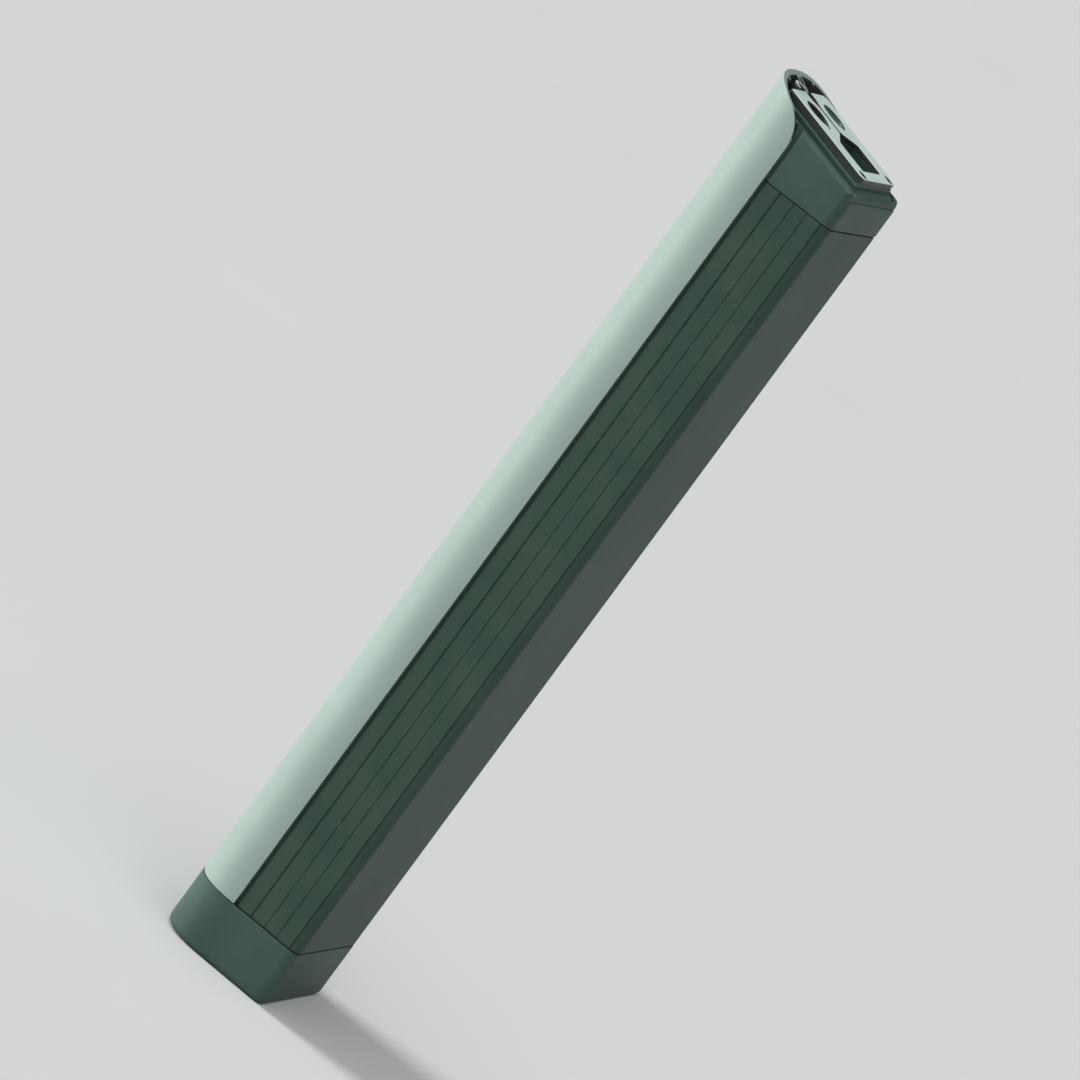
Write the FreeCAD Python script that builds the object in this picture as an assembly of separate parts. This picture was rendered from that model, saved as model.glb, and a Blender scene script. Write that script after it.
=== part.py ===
"""In-tube battery pack for an electric bicycle, about 400 mm long.

Axes: the pack stands on its connector end. +Z runs up the pack to the end plate, -X faces the
arched cover, +X faces the belly that lies in the frame tube, and Y runs across. The origin is
the centre of the flat bottom face. All sizes are in millimetres.
"""
import FreeCAD, Part
import math
import os
from FreeCAD import Placement, Rotation, Vector

# ---- overall sizes ----
LENGTH = 400.0            # bottom face to the crown end of the cover
HALF_WIDTH = 35.0
DEPTH = 55.2              # crown of the cover to the belly
CROWN_X = -DEPTH / 2
BELLY_X = DEPTH / 2

# ---- arched cover ----
ARCH_HEIGHT = 23.2        # crown down to where the arch meets the straight legs
ARCH_POWER = 2.58         # superellipse power of the arch
SPRING_X = CROWN_X + ARCH_HEIGHT
COVER_WALL = 2.4
COVER_EDGE_X = SPRING_X + 0.4
COVER_END_ANGLE = 25.6    # slant of the cover's upper end
COVER_CORNER_RADIUS = 16.0
RIB_X = -17.9             # lower end of the screw rib under the crown
STIFFENER_Y = 16.5
STIFFENER_XS = (-26.0, -22.2)
LIP = 1.2                 # inward lip of each leg, which slides in a rail groove of the casing
LIP_XS = (-7.5, -6.0)
RAIL_XS = (-7.8, -5.7)
RAIL_DEPTH = 1.6

# ---- casing ----
CASING_HALF = 34.6
CASING_TOP_X = -16.8
SHADOW_GAP = 1.2
CASING_WALL = 1.8
BELLY_RADIUS = 4.0
CASING_Z0 = 24.6
CASING_Z1 = 364.0
UNDER_COVER_GAP = 0.3
INNER_HALF = 32.6
INNER_UPPER_HALF = 29.6
INNER_STEP_X = -0.6       # the inside is narrower above this
GROOVES = ((4.5, 0.9, 0.7), (11.1, 0.6, 0.4), (17.1, 0.6, 0.4), (23.8, 0.9, 0.7))
PORTS = ((3.0, 29.6), (3.0, -29.6), (22.6, 29.6), (22.6, -29.6))
PORT_RADIUS = 2.6
SCREW_RADIUS = 1.5

# ---- caps ----
GASKET = 0.6
SPIGOT = 3.6
SPIGOT_WALL = 1.6
SPIGOT_GAP = 0.15
BOTTOM_CAP_Z = 24.0
TOP_CAP_Z = CASING_Z1 + GASKET
CAVITY_TOP = 372.0
CAVITY_BOTTOM = 14.0
PLATE_ANGLE = 13.7        # slant of the end plate
PLATE_Z = 392.55          # height of the end plate's face above the arch's foot
PLATE_HALF = 24.0
PLATE_U0 = -14.6          # cover side end of the plate, along its slope
PLATE_U1 = 29.4           # belly side end
PLATE_THICK = 2.2
HOLE_U = -3.14
HOLE_Y = 11.8
HOLE_RADIUS = 6.2
PLATE_SCREW_U = 26.9
PLATE_SCREW_Y = 18.6
HOOK_Y = -10.4            # middle of the curled hook at the slot's mouth
LATCH_PIN_U = 20.0
LATCH_PIN_W = -6.5        # depth of the latch pin's axis under the plate's face
LATCH_PIN_RADIUS = 2.0
LATCH_PIN_LENGTH = 34.0
POCKET_DEPTH = 11.0

# ---- charging socket and power button, in the plate's frame: heights are above its face ----
FLANGE_RADIUS = 7.4
FLANGE_W = (-4.2, -PLATE_THICK)
SOCKET_BORE = 3.1
SOCKET_BORE_END = -12.0
CHARGE_PIN_RADIUS = 1.05
CHARGE_PIN_TIP = -3.9
BEZEL_RADIUS = 6.1
BEZEL_TOP = -0.5
RING_RADIUS = 5.0
RING_TOP = -1.0
BUTTON_RADIUS = 3.87
BUTTON_TOP = -0.8
BUTTON_FLANGE_W = (-6.2, -5.4)
BUTTON_STEM_W = -7.2
SPRING_RADIUS = 3.9
SPRING_WIRE = 0.5
SPRING_PITCH = 1.25
SPRING_HEIGHT = 5.0
SPRING_W = -11.6
SWITCH_RADIUS = 3.1
SWITCH_W = (-12.0, -8.6)

# ---- discharge connector ----
CONNECTOR_X = 9.5
CONNECTOR_SIZE = (20.0, 46.0)
CONNECTOR_FACE_Z = 8.0
CONNECTOR_TOP_Z = 20.0
BLADE_Y = 13.0
GUIDE_X = -13.0
GUIDE_Y = 17.0
GUIDE_RADIUS = 2.6
GUIDE_DEPTH = 10.0
COVER_SCREW_X = -21.6
VENT_X = -8.0

# ---- cells ----
CELL_RADIUS = 9.1
CELL_LENGTH = 65.2
CELL_XS = (-4.1, 14.9)
CELL_YS = (-19.2, 0.0, 19.2)
ROWS = 5
ROW_GAP = 1.0
CELLS_Z0 = 29.0

# ---- wiring and electronics ----
LEAD_X = 9.5
LEAD_Y = 30.3
LEAD_RADIUS = 1.6
LEAD_BEND = 5.0
BOARD_Z = 361.2
BOARD_THICK = 1.6
STANDOFFS = ((-9.5, 21.5), (-9.5, -21.5), (21.0, 21.5), (21.0, -21.5))

PLATE_FRAME = Placement(Vector(SPRING_X, 0, PLATE_Z), Rotation(Vector(0, 1, 0), PLATE_ANGLE))


# ---- small geometry helpers ----
def box(x0, x1, y0, y1, z0, z1):
    return Part.makeBox(x1 - x0, y1 - y0, z1 - z0, Vector(x0, y0, z0))


def rod(radius, x, y, z0, z1):
    return Part.makeCylinder(radius, z1 - z0, Vector(x, y, z0))


def tube(outer, inner, x, y, z0, z1):
    return rod(outer, x, y, z0, z1).cut(rod(inner, x, y, z0 - 1, z1 + 1))


def on_plate(shape):
    """Move a shape from the end plate's own frame (u, y, w) into the pack's frame."""
    shape.Placement = PLATE_FRAME.multiply(shape.Placement)
    return shape


def prism(face, z0, z1):
    face = face.copy()
    face.translate(Vector(0, 0, z0))
    return face.extrude(Vector(0, 0, z1 - z0))


def polygon(points):
    corners = [Vector(x, y, 0) for x, y in points]
    return Part.Face(Part.makePolygon(corners + corners[:1]))


def rounded(x0, x1, y0, y1, low_radius, high_radius):
    """Rectangle whose corners at x0 have low_radius and at x1 have high_radius."""
    corners = ((x0, y0, low_radius), (x1, y0, high_radius), (x1, y1, high_radius), (x0, y1, low_radius))
    edges = []
    ends = []
    for number, (x, y, r) in enumerate(corners):
        before = corners[number - 1]
        after = corners[(number + 1) % 4]
        into = Vector(x - before[0], y - before[1], 0).normalize()
        out = Vector(after[0] - x, after[1] - y, 0).normalize()
        corner = Vector(x, y, 0)
        start = corner - into * r
        stop = corner + out * r
        ends.append((start, stop))
        if r > 0:
            centre = corner - into * r + out * r
            middle = centre + (corner - centre).normalize() * r
            edges.append(Part.Arc(start, middle, stop).toShape())
    for number in range(4):
        edges.append(Part.LineSegment(ends[number - 1][1], ends[number][0]).toShape())
    return Part.Face(Part.Wire(Part.__sortEdges__(edges)))


def arch_face(half_width, height, foot_x, foot_radius=0.0):
    """Superellipse arch |y/half_width|^p + |x/height|^p = 1, closed by straight legs to foot_x."""
    steps = 24
    points = []
    for step in range(steps + 1):
        angle = math.pi * step / steps
        across = math.cos(angle)
        y = -math.copysign(abs(across) ** (2 / ARCH_POWER), across) * half_width
        x = SPRING_X - abs(math.sin(angle)) ** (2 / ARCH_POWER) * height
        points.append(Vector(x, y, 0))
    points[0] = Vector(SPRING_X, -half_width, 0)
    points[-1] = Vector(SPRING_X, half_width, 0)
    curve = Part.BSplineCurve()
    curve.interpolate(points)
    edges = [curve.toShape()]
    ends = []
    for side in (1, -1):
        leg_end = Vector(foot_x - foot_radius, side * half_width, 0)
        base_end = Vector(foot_x, side * (half_width - foot_radius), 0)
        edges.append(Part.LineSegment(Vector(SPRING_X, side * half_width, 0), leg_end).toShape())
        if foot_radius > 0:
            shift = foot_radius * math.sqrt(0.5)
            middle = Vector(foot_x - foot_radius + shift, side * (half_width - foot_radius + shift), 0)
            edges.append(Part.Arc(leg_end, middle, base_end).toShape())
        ends.append(base_end)
    edges.append(Part.LineSegment(*ends).toShape())
    return Part.Face(Part.Wire(Part.__sortEdges__(edges)))


def casing_outline(z0, z1, inset=0.0):
    """Solid of the casing's outer section: a box with a narrower arched top under the cover."""
    upper_half = HALF_WIDTH - COVER_WALL - UNDER_COVER_GAP - inset
    upper_height = ARCH_HEIGHT - COVER_WALL - UNDER_COVER_GAP - inset
    shoulder_x = COVER_EDGE_X + SHADOW_GAP + inset
    top = prism(arch_face(upper_half, upper_height, shoulder_x + 2.5), z0, z1)
    top = top.common(box(CASING_TOP_X + inset, BELLY_X, -HALF_WIDTH, HALF_WIDTH, z0, z1))
    rails = []
    for side in (-1, 1):
        rail_y = side * (HALF_WIDTH - COVER_WALL)
        rails.append(box(*RAIL_XS, rail_y - RAIL_DEPTH, rail_y + RAIL_DEPTH, z0, z1))
    top = top.cut(rails)
    half = CASING_HALF - inset
    lower = prism(rounded(shoulder_x, BELLY_X - inset, -half, half, 1.5, BELLY_RADIUS - inset), z0, z1)
    return top.fuse(lower).removeSplitter()


def inner_outline(z0, z1, inset=0.0):
    """Solid of the casing's inside."""
    upper = INNER_UPPER_HALF - inset
    lower = INNER_HALF - inset
    top_x = CASING_TOP_X + CASING_WALL + inset
    narrow = prism(rounded(top_x, INNER_STEP_X + 3, -upper, upper, 6.0 - inset, 0), z0, z1)
    belly = BELLY_X - CASING_WALL - inset
    wide = prism(rounded(INNER_STEP_X + inset, belly, -lower, lower, 1.0, 2.5 - inset), z0, z1)
    return narrow.fuse(wide).removeSplitter()


def at_ports(radius, z0, z1):
    return Part.makeCompound([rod(radius, x, y, z0, z1) for x, y in PORTS])


# ---- the outside shells ----
def cover_side_cut():
    """Side view of the cover's kept length: square at the foot, slanted and rounded at the top."""
    slope = math.tan(math.radians(COVER_END_ANGLE))
    reach = COVER_CORNER_RADIUS * math.tan(math.radians((90 - COVER_END_ANGLE) / 2))
    corner_z = LENGTH - slope * (COVER_EDGE_X - CROWN_X)
    start = Vector(COVER_EDGE_X, 0, corner_z - reach)
    along = Vector(-1, 0, slope).normalize()
    stop = Vector(COVER_EDGE_X, 0, corner_z) + along * reach
    centre = start - Vector(COVER_CORNER_RADIUS, 0, 0)
    towards = (Vector(COVER_EDGE_X, 0, corner_z) - centre).normalize()
    middle = centre + towards * COVER_CORNER_RADIUS
    foot = Vector(COVER_EDGE_X, 0, CASING_Z0 - 0.3)
    back = Vector(CROWN_X - 1, 0, CASING_Z0 - 0.3)
    tip = Vector(CROWN_X, 0, LENGTH) + along
    tip.x = CROWN_X - 1
    edges = [Part.LineSegment(foot, start).toShape(), Part.Arc(start, middle, stop).toShape(),
             Part.LineSegment(stop, tip).toShape(), Part.LineSegment(tip, back).toShape(),
             Part.LineSegment(back, foot).toShape()]
    face = Part.Face(Part.Wire(edges))
    face.translate(Vector(0, -HALF_WIDTH - 1, 0))
    return face.extrude(Vector(0, 2 * HALF_WIDTH + 2, 0))


def make_cover():
    """Extruded arch with a split screw rib under its crown, two stiffening ribs and two lips."""
    z0 = 0.0
    z1 = LENGTH + 5
    outer = prism(arch_face(HALF_WIDTH, ARCH_HEIGHT, COVER_EDGE_X), z0, z1)
    hollow = prism(arch_face(HALF_WIDTH - COVER_WALL, ARCH_HEIGHT - COVER_WALL, COVER_EDGE_X + 1), z0, z1)
    shell = outer.cut(hollow)
    crown_in = CROWN_X + COVER_WALL
    rib = prism(rounded(crown_in - 1.0, RIB_X, -2.7, 2.7, 0.5, 2.6), z0, z1)
    rib = rib.cut(prism(rounded(crown_in + 0.6, RIB_X - 1.2, -1.5, 1.5, 1.4, 1.4), z0, z1))
    rib = rib.cut(box(RIB_X - 1.6, RIB_X + 1, -0.4, 0.4, z0, z1))
    pieces = [rib]
    for side in (-1, 1):
        stiffener = box(*STIFFENER_XS, side * STIFFENER_Y - 0.7, side * STIFFENER_Y + 0.7, z0, z1)
        pieces.append(stiffener.common(outer))
        lip_y = side * (HALF_WIDTH - COVER_WALL)
        pieces.append(box(*LIP_XS, lip_y - LIP, lip_y + LIP, z0, z1))
    shell = shell.fuse(pieces).removeSplitter()
    return shell.common(cover_side_cut())


def make_casing():
    """Extruded casing with side grooves, rails for the cover's lips and four screw ports."""
    body = casing_outline(CASING_Z0, CASING_Z1)
    inside = inner_outline(CASING_Z0, CASING_Z1)
    ports = [rod(PORT_RADIUS, x, y, CASING_Z0, CASING_Z1) for x, y in PORTS]
    webs = [box(x - 1.6, x + 1.6, min(y, math.copysign(INNER_HALF, y)), max(y, math.copysign(INNER_HALF, y)),
                CASING_Z0, CASING_Z1) for x, y in PORTS]
    body = body.cut(inside).fuse(ports + webs)
    cuts = [rod(SCREW_RADIUS, x, y, CASING_Z0, CASING_Z1) for x, y in PORTS]
    for side in (-1, 1):
        for x, width, depth in GROOVES:
            y = side * CASING_HALF
            cuts.append(box(x - width / 2, x + width / 2, y - depth, y + depth, CASING_Z0, CASING_Z1))
    return body.cut(cuts).removeSplitter()


def cap_gasket(z0, z1):
    return casing_outline(z0, z1, 0.5).cut(inner_outline(z0, z1, -0.2))


def spigot(z0, z1):
    """Ring that plugs into the casing, notched for the screw ports and the power leads."""
    ring = inner_outline(z0, z1, SPIGOT_GAP).cut(inner_outline(z0, z1, SPIGOT_GAP + SPIGOT_WALL))
    ring = ring.cut(at_ports(PORT_RADIUS + 1.6, z0, z1))
    notches = [rod(LEAD_RADIUS + 0.5, LEAD_X, side * LEAD_Y, z0, z1) for side in (-1, 1)]
    return ring.cut(notches)


def latch_cut(w0, w1):
    """Slot from the cover side, narrow between the holes, widening into the latch pocket."""
    half = ((-20.0, 4.6), (-10.5, 3.8), (-6.4, 1.5), (5.6, 1.5), (10.8, 13.3), (24.6, 13.3))
    outline = [(u, -y) for u, y in half] + [(u, y) for u, y in reversed(half)]
    cutter = prism(polygon(outline), w0, w1)
    corners = [edge for edge in cutter.Edges if is_upright(edge) and edge.Vertexes[0].X > -18]
    return cutter.makeFillet(1.2, corners)


def is_upright(edge):
    first, last = edge.Vertexes[0].Point, edge.Vertexes[-1].Point
    return abs(first.x - last.x) < 1e-6 and abs(first.y - last.y) < 1e-6


def cap_top_profile():
    """Section across the top cap: rounded shoulder, dished valley, ledge and raised neck."""
    side = CASING_HALF + 0.4
    right = (
        (side, -60.0), (side, -8.1), "arc", (34.0, -5.4), (31.6, -4.4), "arc", (28.9, -6.0), (26.4, -6.3),
        (25.4, -5.4), (25.4, -3.6), (24.7, -3.1), (23.4, -3.1), (23.4, -PLATE_THICK))
    edges = []
    points = [Vector(0, p[0], p[1]) for p in right if p != "arc"]
    arcs = [right.index("arc") - 1, len(right) - 1 - right[::-1].index("arc") - 2]
    number = 0
    while number < len(points) - 1:
        if number in arcs:
            edges.append(Part.Arc(*points[number:number + 3]).toShape())
            number += 2
        else:
            edges.append(Part.LineSegment(points[number], points[number + 1]).toShape())
            number += 1
    half = Part.Wire(edges)
    other = half.mirror(Vector(0, 0, 0), Vector(0, 1, 0))
    top = Part.LineSegment(points[-1], Vector(0, -points[-1].y, points[-1].z)).toShape()
    base = Part.LineSegment(points[0], Vector(0, -points[0].y, points[0].z)).toShape()
    loop = Part.Wire(Part.__sortEdges__(half.Edges + other.Edges + [top, base]))
    face = Part.Face(loop)
    face.translate(Vector(-40, 0, 0))
    return face.extrude(Vector(100, 0, 0))


def belly_end_cut():
    """Removes the neck past the plate and rounds the shoulder at the belly."""
    u_end = PLATE_U1 + 0.2
    radius = 3.2
    edge_u = (BELLY_X - SPRING_X) / math.cos(math.radians(PLATE_ANGLE)) - 1.1
    start = Vector(u_end, 0, 5)
    step = Vector(u_end, 0, -4.4)
    before = Vector(edge_u - radius + 1.6, 0, -4.4)
    middle = Vector(edge_u + 0.9, 0, -5.3)
    after = Vector(edge_u + 2.2, 0, -8.0)
    far = Vector(edge_u + 20, 0, -8.0)
    top = Vector(edge_u + 20, 0, 5)
    edges = [Part.LineSegment(start, step).toShape(), Part.LineSegment(step, before).toShape(),
             Part.Arc(before, middle, after).toShape(), Part.LineSegment(after, far).toShape(),
             Part.LineSegment(far, top).toShape(), Part.LineSegment(top, start).toShape()]
    face = Part.Face(Part.Wire(edges))
    face.translate(Vector(0, -50, 0))
    return face.extrude(Vector(0, 100, 0))


def cap_cavity(z0, z1):
    """Space in a cap for the electronics, wider between the screw ports."""
    middle = prism(rounded(-14.0, 24.0, -25.6, 25.6, 3, 3), z0, z1)
    wings = prism(rounded(6.4, 19.0, -32.1, 32.1, 1, 1), z0, z1)
    return middle.fuse(wings)


def make_top_cap():
    body = casing_outline(TOP_CAP_Z, LENGTH).common(on_plate(cap_top_profile()))
    body = body.cut(on_plate(belly_end_cut()))
    body = body.fuse(spigot(CASING_Z1 - SPIGOT, TOP_CAP_Z + 0.5))
    cuts = [cap_cavity(TOP_CAP_Z - 0.1, CAVITY_TOP), on_plate(latch_cut(-POCKET_DEPTH, 2.0))]
    for side in (-1, 1):
        y = side * HOLE_Y
        cuts.append(on_plate(rod(FLANGE_RADIUS + 0.1, HOLE_U, y, FLANGE_W[0] - 0.05, 1)))
        cuts.append(on_plate(rod(5.1, HOLE_U, y, -14.2 if side > 0 else -10.6, 0)))
        cuts.append(rod(2.6, -10.6, y, CAVITY_TOP - 1, 381))
    cuts.append(on_plate(rod(6.2, HOLE_U, HOLE_Y, -5.3, 0)))
    cuts.append(on_plate(rod(3.9, HOLE_U, -HOLE_Y, -14.2, 0)))
    for x, y in PORTS:
        cuts.append(rod(SCREW_RADIUS + 0.2, x, y, CASING_Z1 - 1, 400))
        cuts.append(rod(3.1, x, y, 370.0, 400))
    for y in (-PLATE_SCREW_Y, PLATE_SCREW_Y):
        cuts.append(on_plate(rod(1.0, PLATE_SCREW_U, y, -9, 1)))
    cuts.append(make_latch_pin())
    return body.cut(cuts).removeSplitter()


def make_end_plate():
    """Bevelled plate with two round holes, the keyway, the slot and the latch pocket's mouth."""
    plate = prism(rounded(PLATE_U0, PLATE_U1, -PLATE_HALF, PLATE_HALF, 3.2, 3.2), -PLATE_THICK, 0)
    rim = [edge for edge in plate.Edges if edge.BoundBox.ZMin > -1e-6]
    plate = plate.makeChamfer(0.55, rim)
    cuts = [latch_cut(-PLATE_THICK - 1, 2)]
    for side in (-1, 1):
        cuts.append(rod(HOLE_RADIUS, HOLE_U, side * HOLE_Y, -5, 1))
        cuts.append(rod(1.2, PLATE_SCREW_U, side * PLATE_SCREW_Y, -5, 1))
        cuts.append(Part.makeCone(1.2, 2.6, 1.4, Vector(PLATE_SCREW_U, side * PLATE_SCREW_Y, -1.3)))
    cuts.append(rod(1.5, HOLE_U + 6.5, -HOLE_Y, -5, 1))
    plate = plate.cut(cuts)
    hook = tube(4.2, 3.1, PLATE_U0, HOOK_Y, -PLATE_THICK, 1.2)
    hook = hook.cut(box(PLATE_U0 + 0.4, 0, -20, 0, -5, 5))
    return on_plate(plate.fuse(hook).removeSplitter())


def make_plate_screws():
    screws = []
    for y in (-PLATE_SCREW_Y, PLATE_SCREW_Y):
        head = Part.makeCone(1.15, 2.3, 1.2, Vector(PLATE_SCREW_U, y, -1.3))
        shank = rod(1.0, PLATE_SCREW_U, y, -8.5, -1.3)
        slot = box(PLATE_SCREW_U - 1.6, PLATE_SCREW_U + 1.6, y - 0.25, y + 0.25, -0.7, 1)
        cross = box(PLATE_SCREW_U - 0.25, PLATE_SCREW_U + 0.25, y - 1.6, y + 1.6, -0.7, 1)
        screws.append(on_plate(head.fuse(shank).cut([slot, cross])))
    return Part.makeCompound(screws)


def make_latch_pin():
    """Cross pin of the latch pocket, held by the top cap at both ends."""
    start = Vector(LATCH_PIN_U, -LATCH_PIN_LENGTH / 2, LATCH_PIN_W)
    return on_plate(Part.makeCylinder(LATCH_PIN_RADIUS, LATCH_PIN_LENGTH, start, Vector(0, 1, 0)))


def cap_screws(head_z, tip_z, heads_up):
    """Pan-head screws; heads_up is 1 when the heads face +Z and -1 when they face -Z."""
    screws = []
    for x, y in PORTS:
        shank = rod(SCREW_RADIUS, x, y, min(head_z, tip_z), max(head_z, tip_z))
        head = Part.makeCylinder(2.8, 2.2, Vector(x, y, head_z), Vector(0, 0, heads_up))
        top = head_z + 2.2 * heads_up
        rim = [edge for edge in head.Edges if abs(edge.BoundBox.ZMin - top) < 1e-6 and edge.Length > 10]
        head = head.makeFillet(0.8, rim)
        socket = rod(1.25, x, y, min(top, top - 1.3 * heads_up), max(top, top - 1.3 * heads_up))
        screws.append(shank.fuse(head).cut(socket).removeSplitter())
    return Part.makeCompound(screws)


# ---- charging socket and power button, on the end plate ----
def make_charge_socket():
    """Flanged barrel with the plug's bore, a lead-in cone, a keying hole and the contact's slot."""
    body = rod(FLANGE_RADIUS, HOLE_U, -HOLE_Y, *FLANGE_W)
    body = body.fuse([rod(5.0, HOLE_U, -HOLE_Y, -10.5, -4), rod(3.8, HOLE_U, -HOLE_Y, -14.0, -10)])
    body = body.cut(rod(SOCKET_BORE, HOLE_U, -HOLE_Y, SOCKET_BORE_END, 0))
    body = body.cut(Part.makeCone(SOCKET_BORE, 3.7, 0.6, Vector(HOLE_U, -HOLE_Y, FLANGE_W[1] - 0.6)))
    body = body.cut(rod(1.0, HOLE_U + 6.0, -HOLE_Y, -3.4, 0))
    body = body.cut(box(HOLE_U - 0.9, HOLE_U + 0.9, -HOLE_Y - 3.7, -HOLE_Y - 2.9, -9.8, -5.0))
    return on_plate(body.removeSplitter())


def make_charge_pin():
    shoulder = CHARGE_PIN_TIP - 0.5
    pin = rod(CHARGE_PIN_RADIUS, HOLE_U, -HOLE_Y, SOCKET_BORE_END, shoulder)
    tip = Part.makeCone(CHARGE_PIN_RADIUS, 0.6, 0.5, Vector(HOLE_U, -HOLE_Y, shoulder))
    return on_plate(pin.fuse(tip))


def make_charge_contact():
    """Sprung leaf that lies in a slot of the socket's wall."""
    return on_plate(box(HOLE_U - 0.8, HOLE_U + 0.8, -HOLE_Y - 3.6, -HOLE_Y - 3.0, -9.6, -5.2))


def make_button_bezel():
    ring = tube(BEZEL_RADIUS, RING_RADIUS, HOLE_U, HOLE_Y, -5.2, BEZEL_TOP)
    ring = ring.fuse(tube(FLANGE_RADIUS, RING_RADIUS, HOLE_U, HOLE_Y, *FLANGE_W)).removeSplitter()
    rim = [edge for edge in ring.Edges if abs(on_w(edge) - BEZEL_TOP) < 1e-6 and edge.Length > 35]
    return on_plate(ring.makeFillet(0.4, rim))


def on_w(edge):
    return edge.BoundBox.ZMin if edge.BoundBox.ZLength < 1e-6 else 99.0


def make_light_ring():
    return on_plate(tube(RING_RADIUS, BUTTON_RADIUS + 0.08, HOLE_U, HOLE_Y, -5.2, RING_TOP))


def make_button_cap():
    """Button with a dished face and a retaining flange; it slides along the plate's normal."""
    button = rod(BUTTON_RADIUS, HOLE_U, HOLE_Y, -6.0, BUTTON_TOP)
    rim = [edge for edge in button.Edges if abs(on_w(edge) - BUTTON_TOP) < 1e-6]
    button = button.makeFillet(0.5, rim)
    flange = rod(4.6, HOLE_U, HOLE_Y, *BUTTON_FLANGE_W)
    button = button.fuse([flange, rod(1.6, HOLE_U, HOLE_Y, BUTTON_STEM_W, -6)])
    dish_radius = 16.0
    dish = Part.makeSphere(dish_radius, Vector(HOLE_U, HOLE_Y, BUTTON_TOP - 0.35 + dish_radius))
    return on_plate(button.cut(dish).removeSplitter())


def make_switch_body():
    body = tube(SWITCH_RADIUS, 1.7, HOLE_U, HOLE_Y, *SWITCH_W)
    floor = rod(SWITCH_RADIUS, HOLE_U, HOLE_Y, SWITCH_W[0], SWITCH_W[0] + 0.6)
    return on_plate(body.fuse(floor).removeSplitter())


def make_switch_plunger():
    return on_plate(rod(1.62, HOLE_U, HOLE_Y, -10.2, BUTTON_STEM_W))


def make_switch_board():
    return on_plate(rod(4.9, HOLE_U, HOLE_Y, SWITCH_W[0] - 1.0, SWITCH_W[0]))


def make_button_spring():
    """Four-turn coil of square wire between the button's flange and the switch board."""
    helix = Part.makeHelix(SPRING_PITCH, SPRING_HEIGHT, SPRING_RADIUS)
    half = SPRING_WIRE / 2
    square = ((-half, -half), (half, -half), (half, half), (-half, half))
    corners = [Vector(SPRING_RADIUS + x, 0, z) for x, z in square]
    section = Part.makePolygon(corners + corners[:1])
    coil = Part.Wire(helix).makePipeShell([section], True, True)
    coil.translate(Vector(HOLE_U, HOLE_Y, SPRING_W))
    return on_plate(coil)


# ---- bottom end ----
def make_bottom_cap():
    """Moulded cap of the pack's full outline with the connector recess in its flat base."""
    body = prism(arch_face(HALF_WIDTH, ARCH_HEIGHT, BELLY_X, BELLY_RADIUS), 0, BOTTOM_CAP_Z)
    base = [edge for edge in body.Edges if edge.BoundBox.ZMax < 1e-6]
    body = body.makeFillet(2.5, base)
    body = body.fuse(spigot(BOTTOM_CAP_Z - 0.5, CASING_Z0 + SPIGOT))
    length, width = CONNECTOR_SIZE
    recess = prism(rounded(CONNECTOR_X - length / 2, CONNECTOR_X + length / 2, -width / 2, width / 2, 3, 3),
                   -1, CAVITY_BOTTOM + 1)
    cuts = [cap_cavity(CAVITY_BOTTOM, BOTTOM_CAP_Z + 0.1), recess]
    cuts += [rod(SCREW_RADIUS + 0.2, x, y, -1, 26) for x, y in PORTS]
    cuts += [rod(3.1, x, y, -1, 7.0) for x, y in PORTS]
    cuts += [rod(GUIDE_RADIUS, GUIDE_X, side * GUIDE_Y, -1, GUIDE_DEPTH) for side in (-1, 1)]
    cuts += [rod(1.25, COVER_SCREW_X, 0, -1, 30), rod(2.8, COVER_SCREW_X, 0, -1, 6.0)]
    cuts += [rod(4.1, VENT_X, 0, -1, 2.2), rod(2.0, VENT_X, 0, 0, 20)]
    return body.cut(cuts).removeSplitter()


def make_connector():
    """Socket block with two blade slots, four pin holes and a mounting flange."""
    length, width = CONNECTOR_SIZE
    x0, x1 = CONNECTOR_X - length / 2 + 0.1, CONNECTOR_X + length / 2 - 0.1
    half = width / 2 - 0.1
    block = prism(rounded(x0, x1, -half, half, 2.9, 2.9), CONNECTOR_FACE_Z, CAVITY_BOTTOM)
    flange = prism(rounded(x0 - 1.9, x1 + 1.9, -half, half, 2, 2), CAVITY_BOTTOM, 16.0)
    tower = prism(rounded(x0 + 3, x1 - 3, -half + 5, half - 5, 1, 1), 15.5, CONNECTOR_TOP_Z)
    body = block.fuse([flange, tower]).removeSplitter()
    cuts = []
    for side in (-1, 1):
        y = side * BLADE_Y
        cuts.append(box(CONNECTOR_X - 4.2, CONNECTOR_X + 4.2, y - 1.2, y + 1.2, 0, 18.0))
        cuts.append(box(CONNECTOR_X - 4.0, CONNECTOR_X + 4.0, y - 0.6, y + 0.6, 17, 21))
        cuts.append(rod(1.2, CONNECTOR_X, side * 20.3, 0, 21))
    for y in (-6.0, -2.0, 2.0, 6.0):
        cuts.append(rod(1.3, CONNECTOR_X, y, 0, 17.0))
        cuts.append(rod(0.5, CONNECTOR_X, y, 16, 21))
    return body.cut(cuts)


def make_power_contacts():
    contacts = [box(CONNECTOR_X - 4.0, CONNECTOR_X + 4.0, y - 0.6, y + 0.6, 9.5, 23.6)
                for y in (-BLADE_Y, BLADE_Y)]
    return Part.makeCompound(contacts)


def make_signal_contacts():
    pins = []
    for y in (-6.0, -2.0, 2.0, 6.0):
        body = tube(0.95, 0.55, CONNECTOR_X, y, 9.5, 16.6)
        plug = rod(0.95, CONNECTOR_X, y, 16.0, 17.0)
        pins.append(body.fuse([plug, rod(0.5, CONNECTOR_X, y, 16.5, 22.5)]))
    return Part.makeCompound([pin.removeSplitter() for pin in pins])


def make_connector_screws():
    screws = []
    for side in (-1, 1):
        y = side * 20.3
        screw = rod(1.15, CONNECTOR_X, y, 8.9, 20.0).fuse(rod(2.2, CONNECTOR_X, y, 16.0, 17.5))
        screws.append(screw.removeSplitter())
    return Part.makeCompound(screws)


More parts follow.
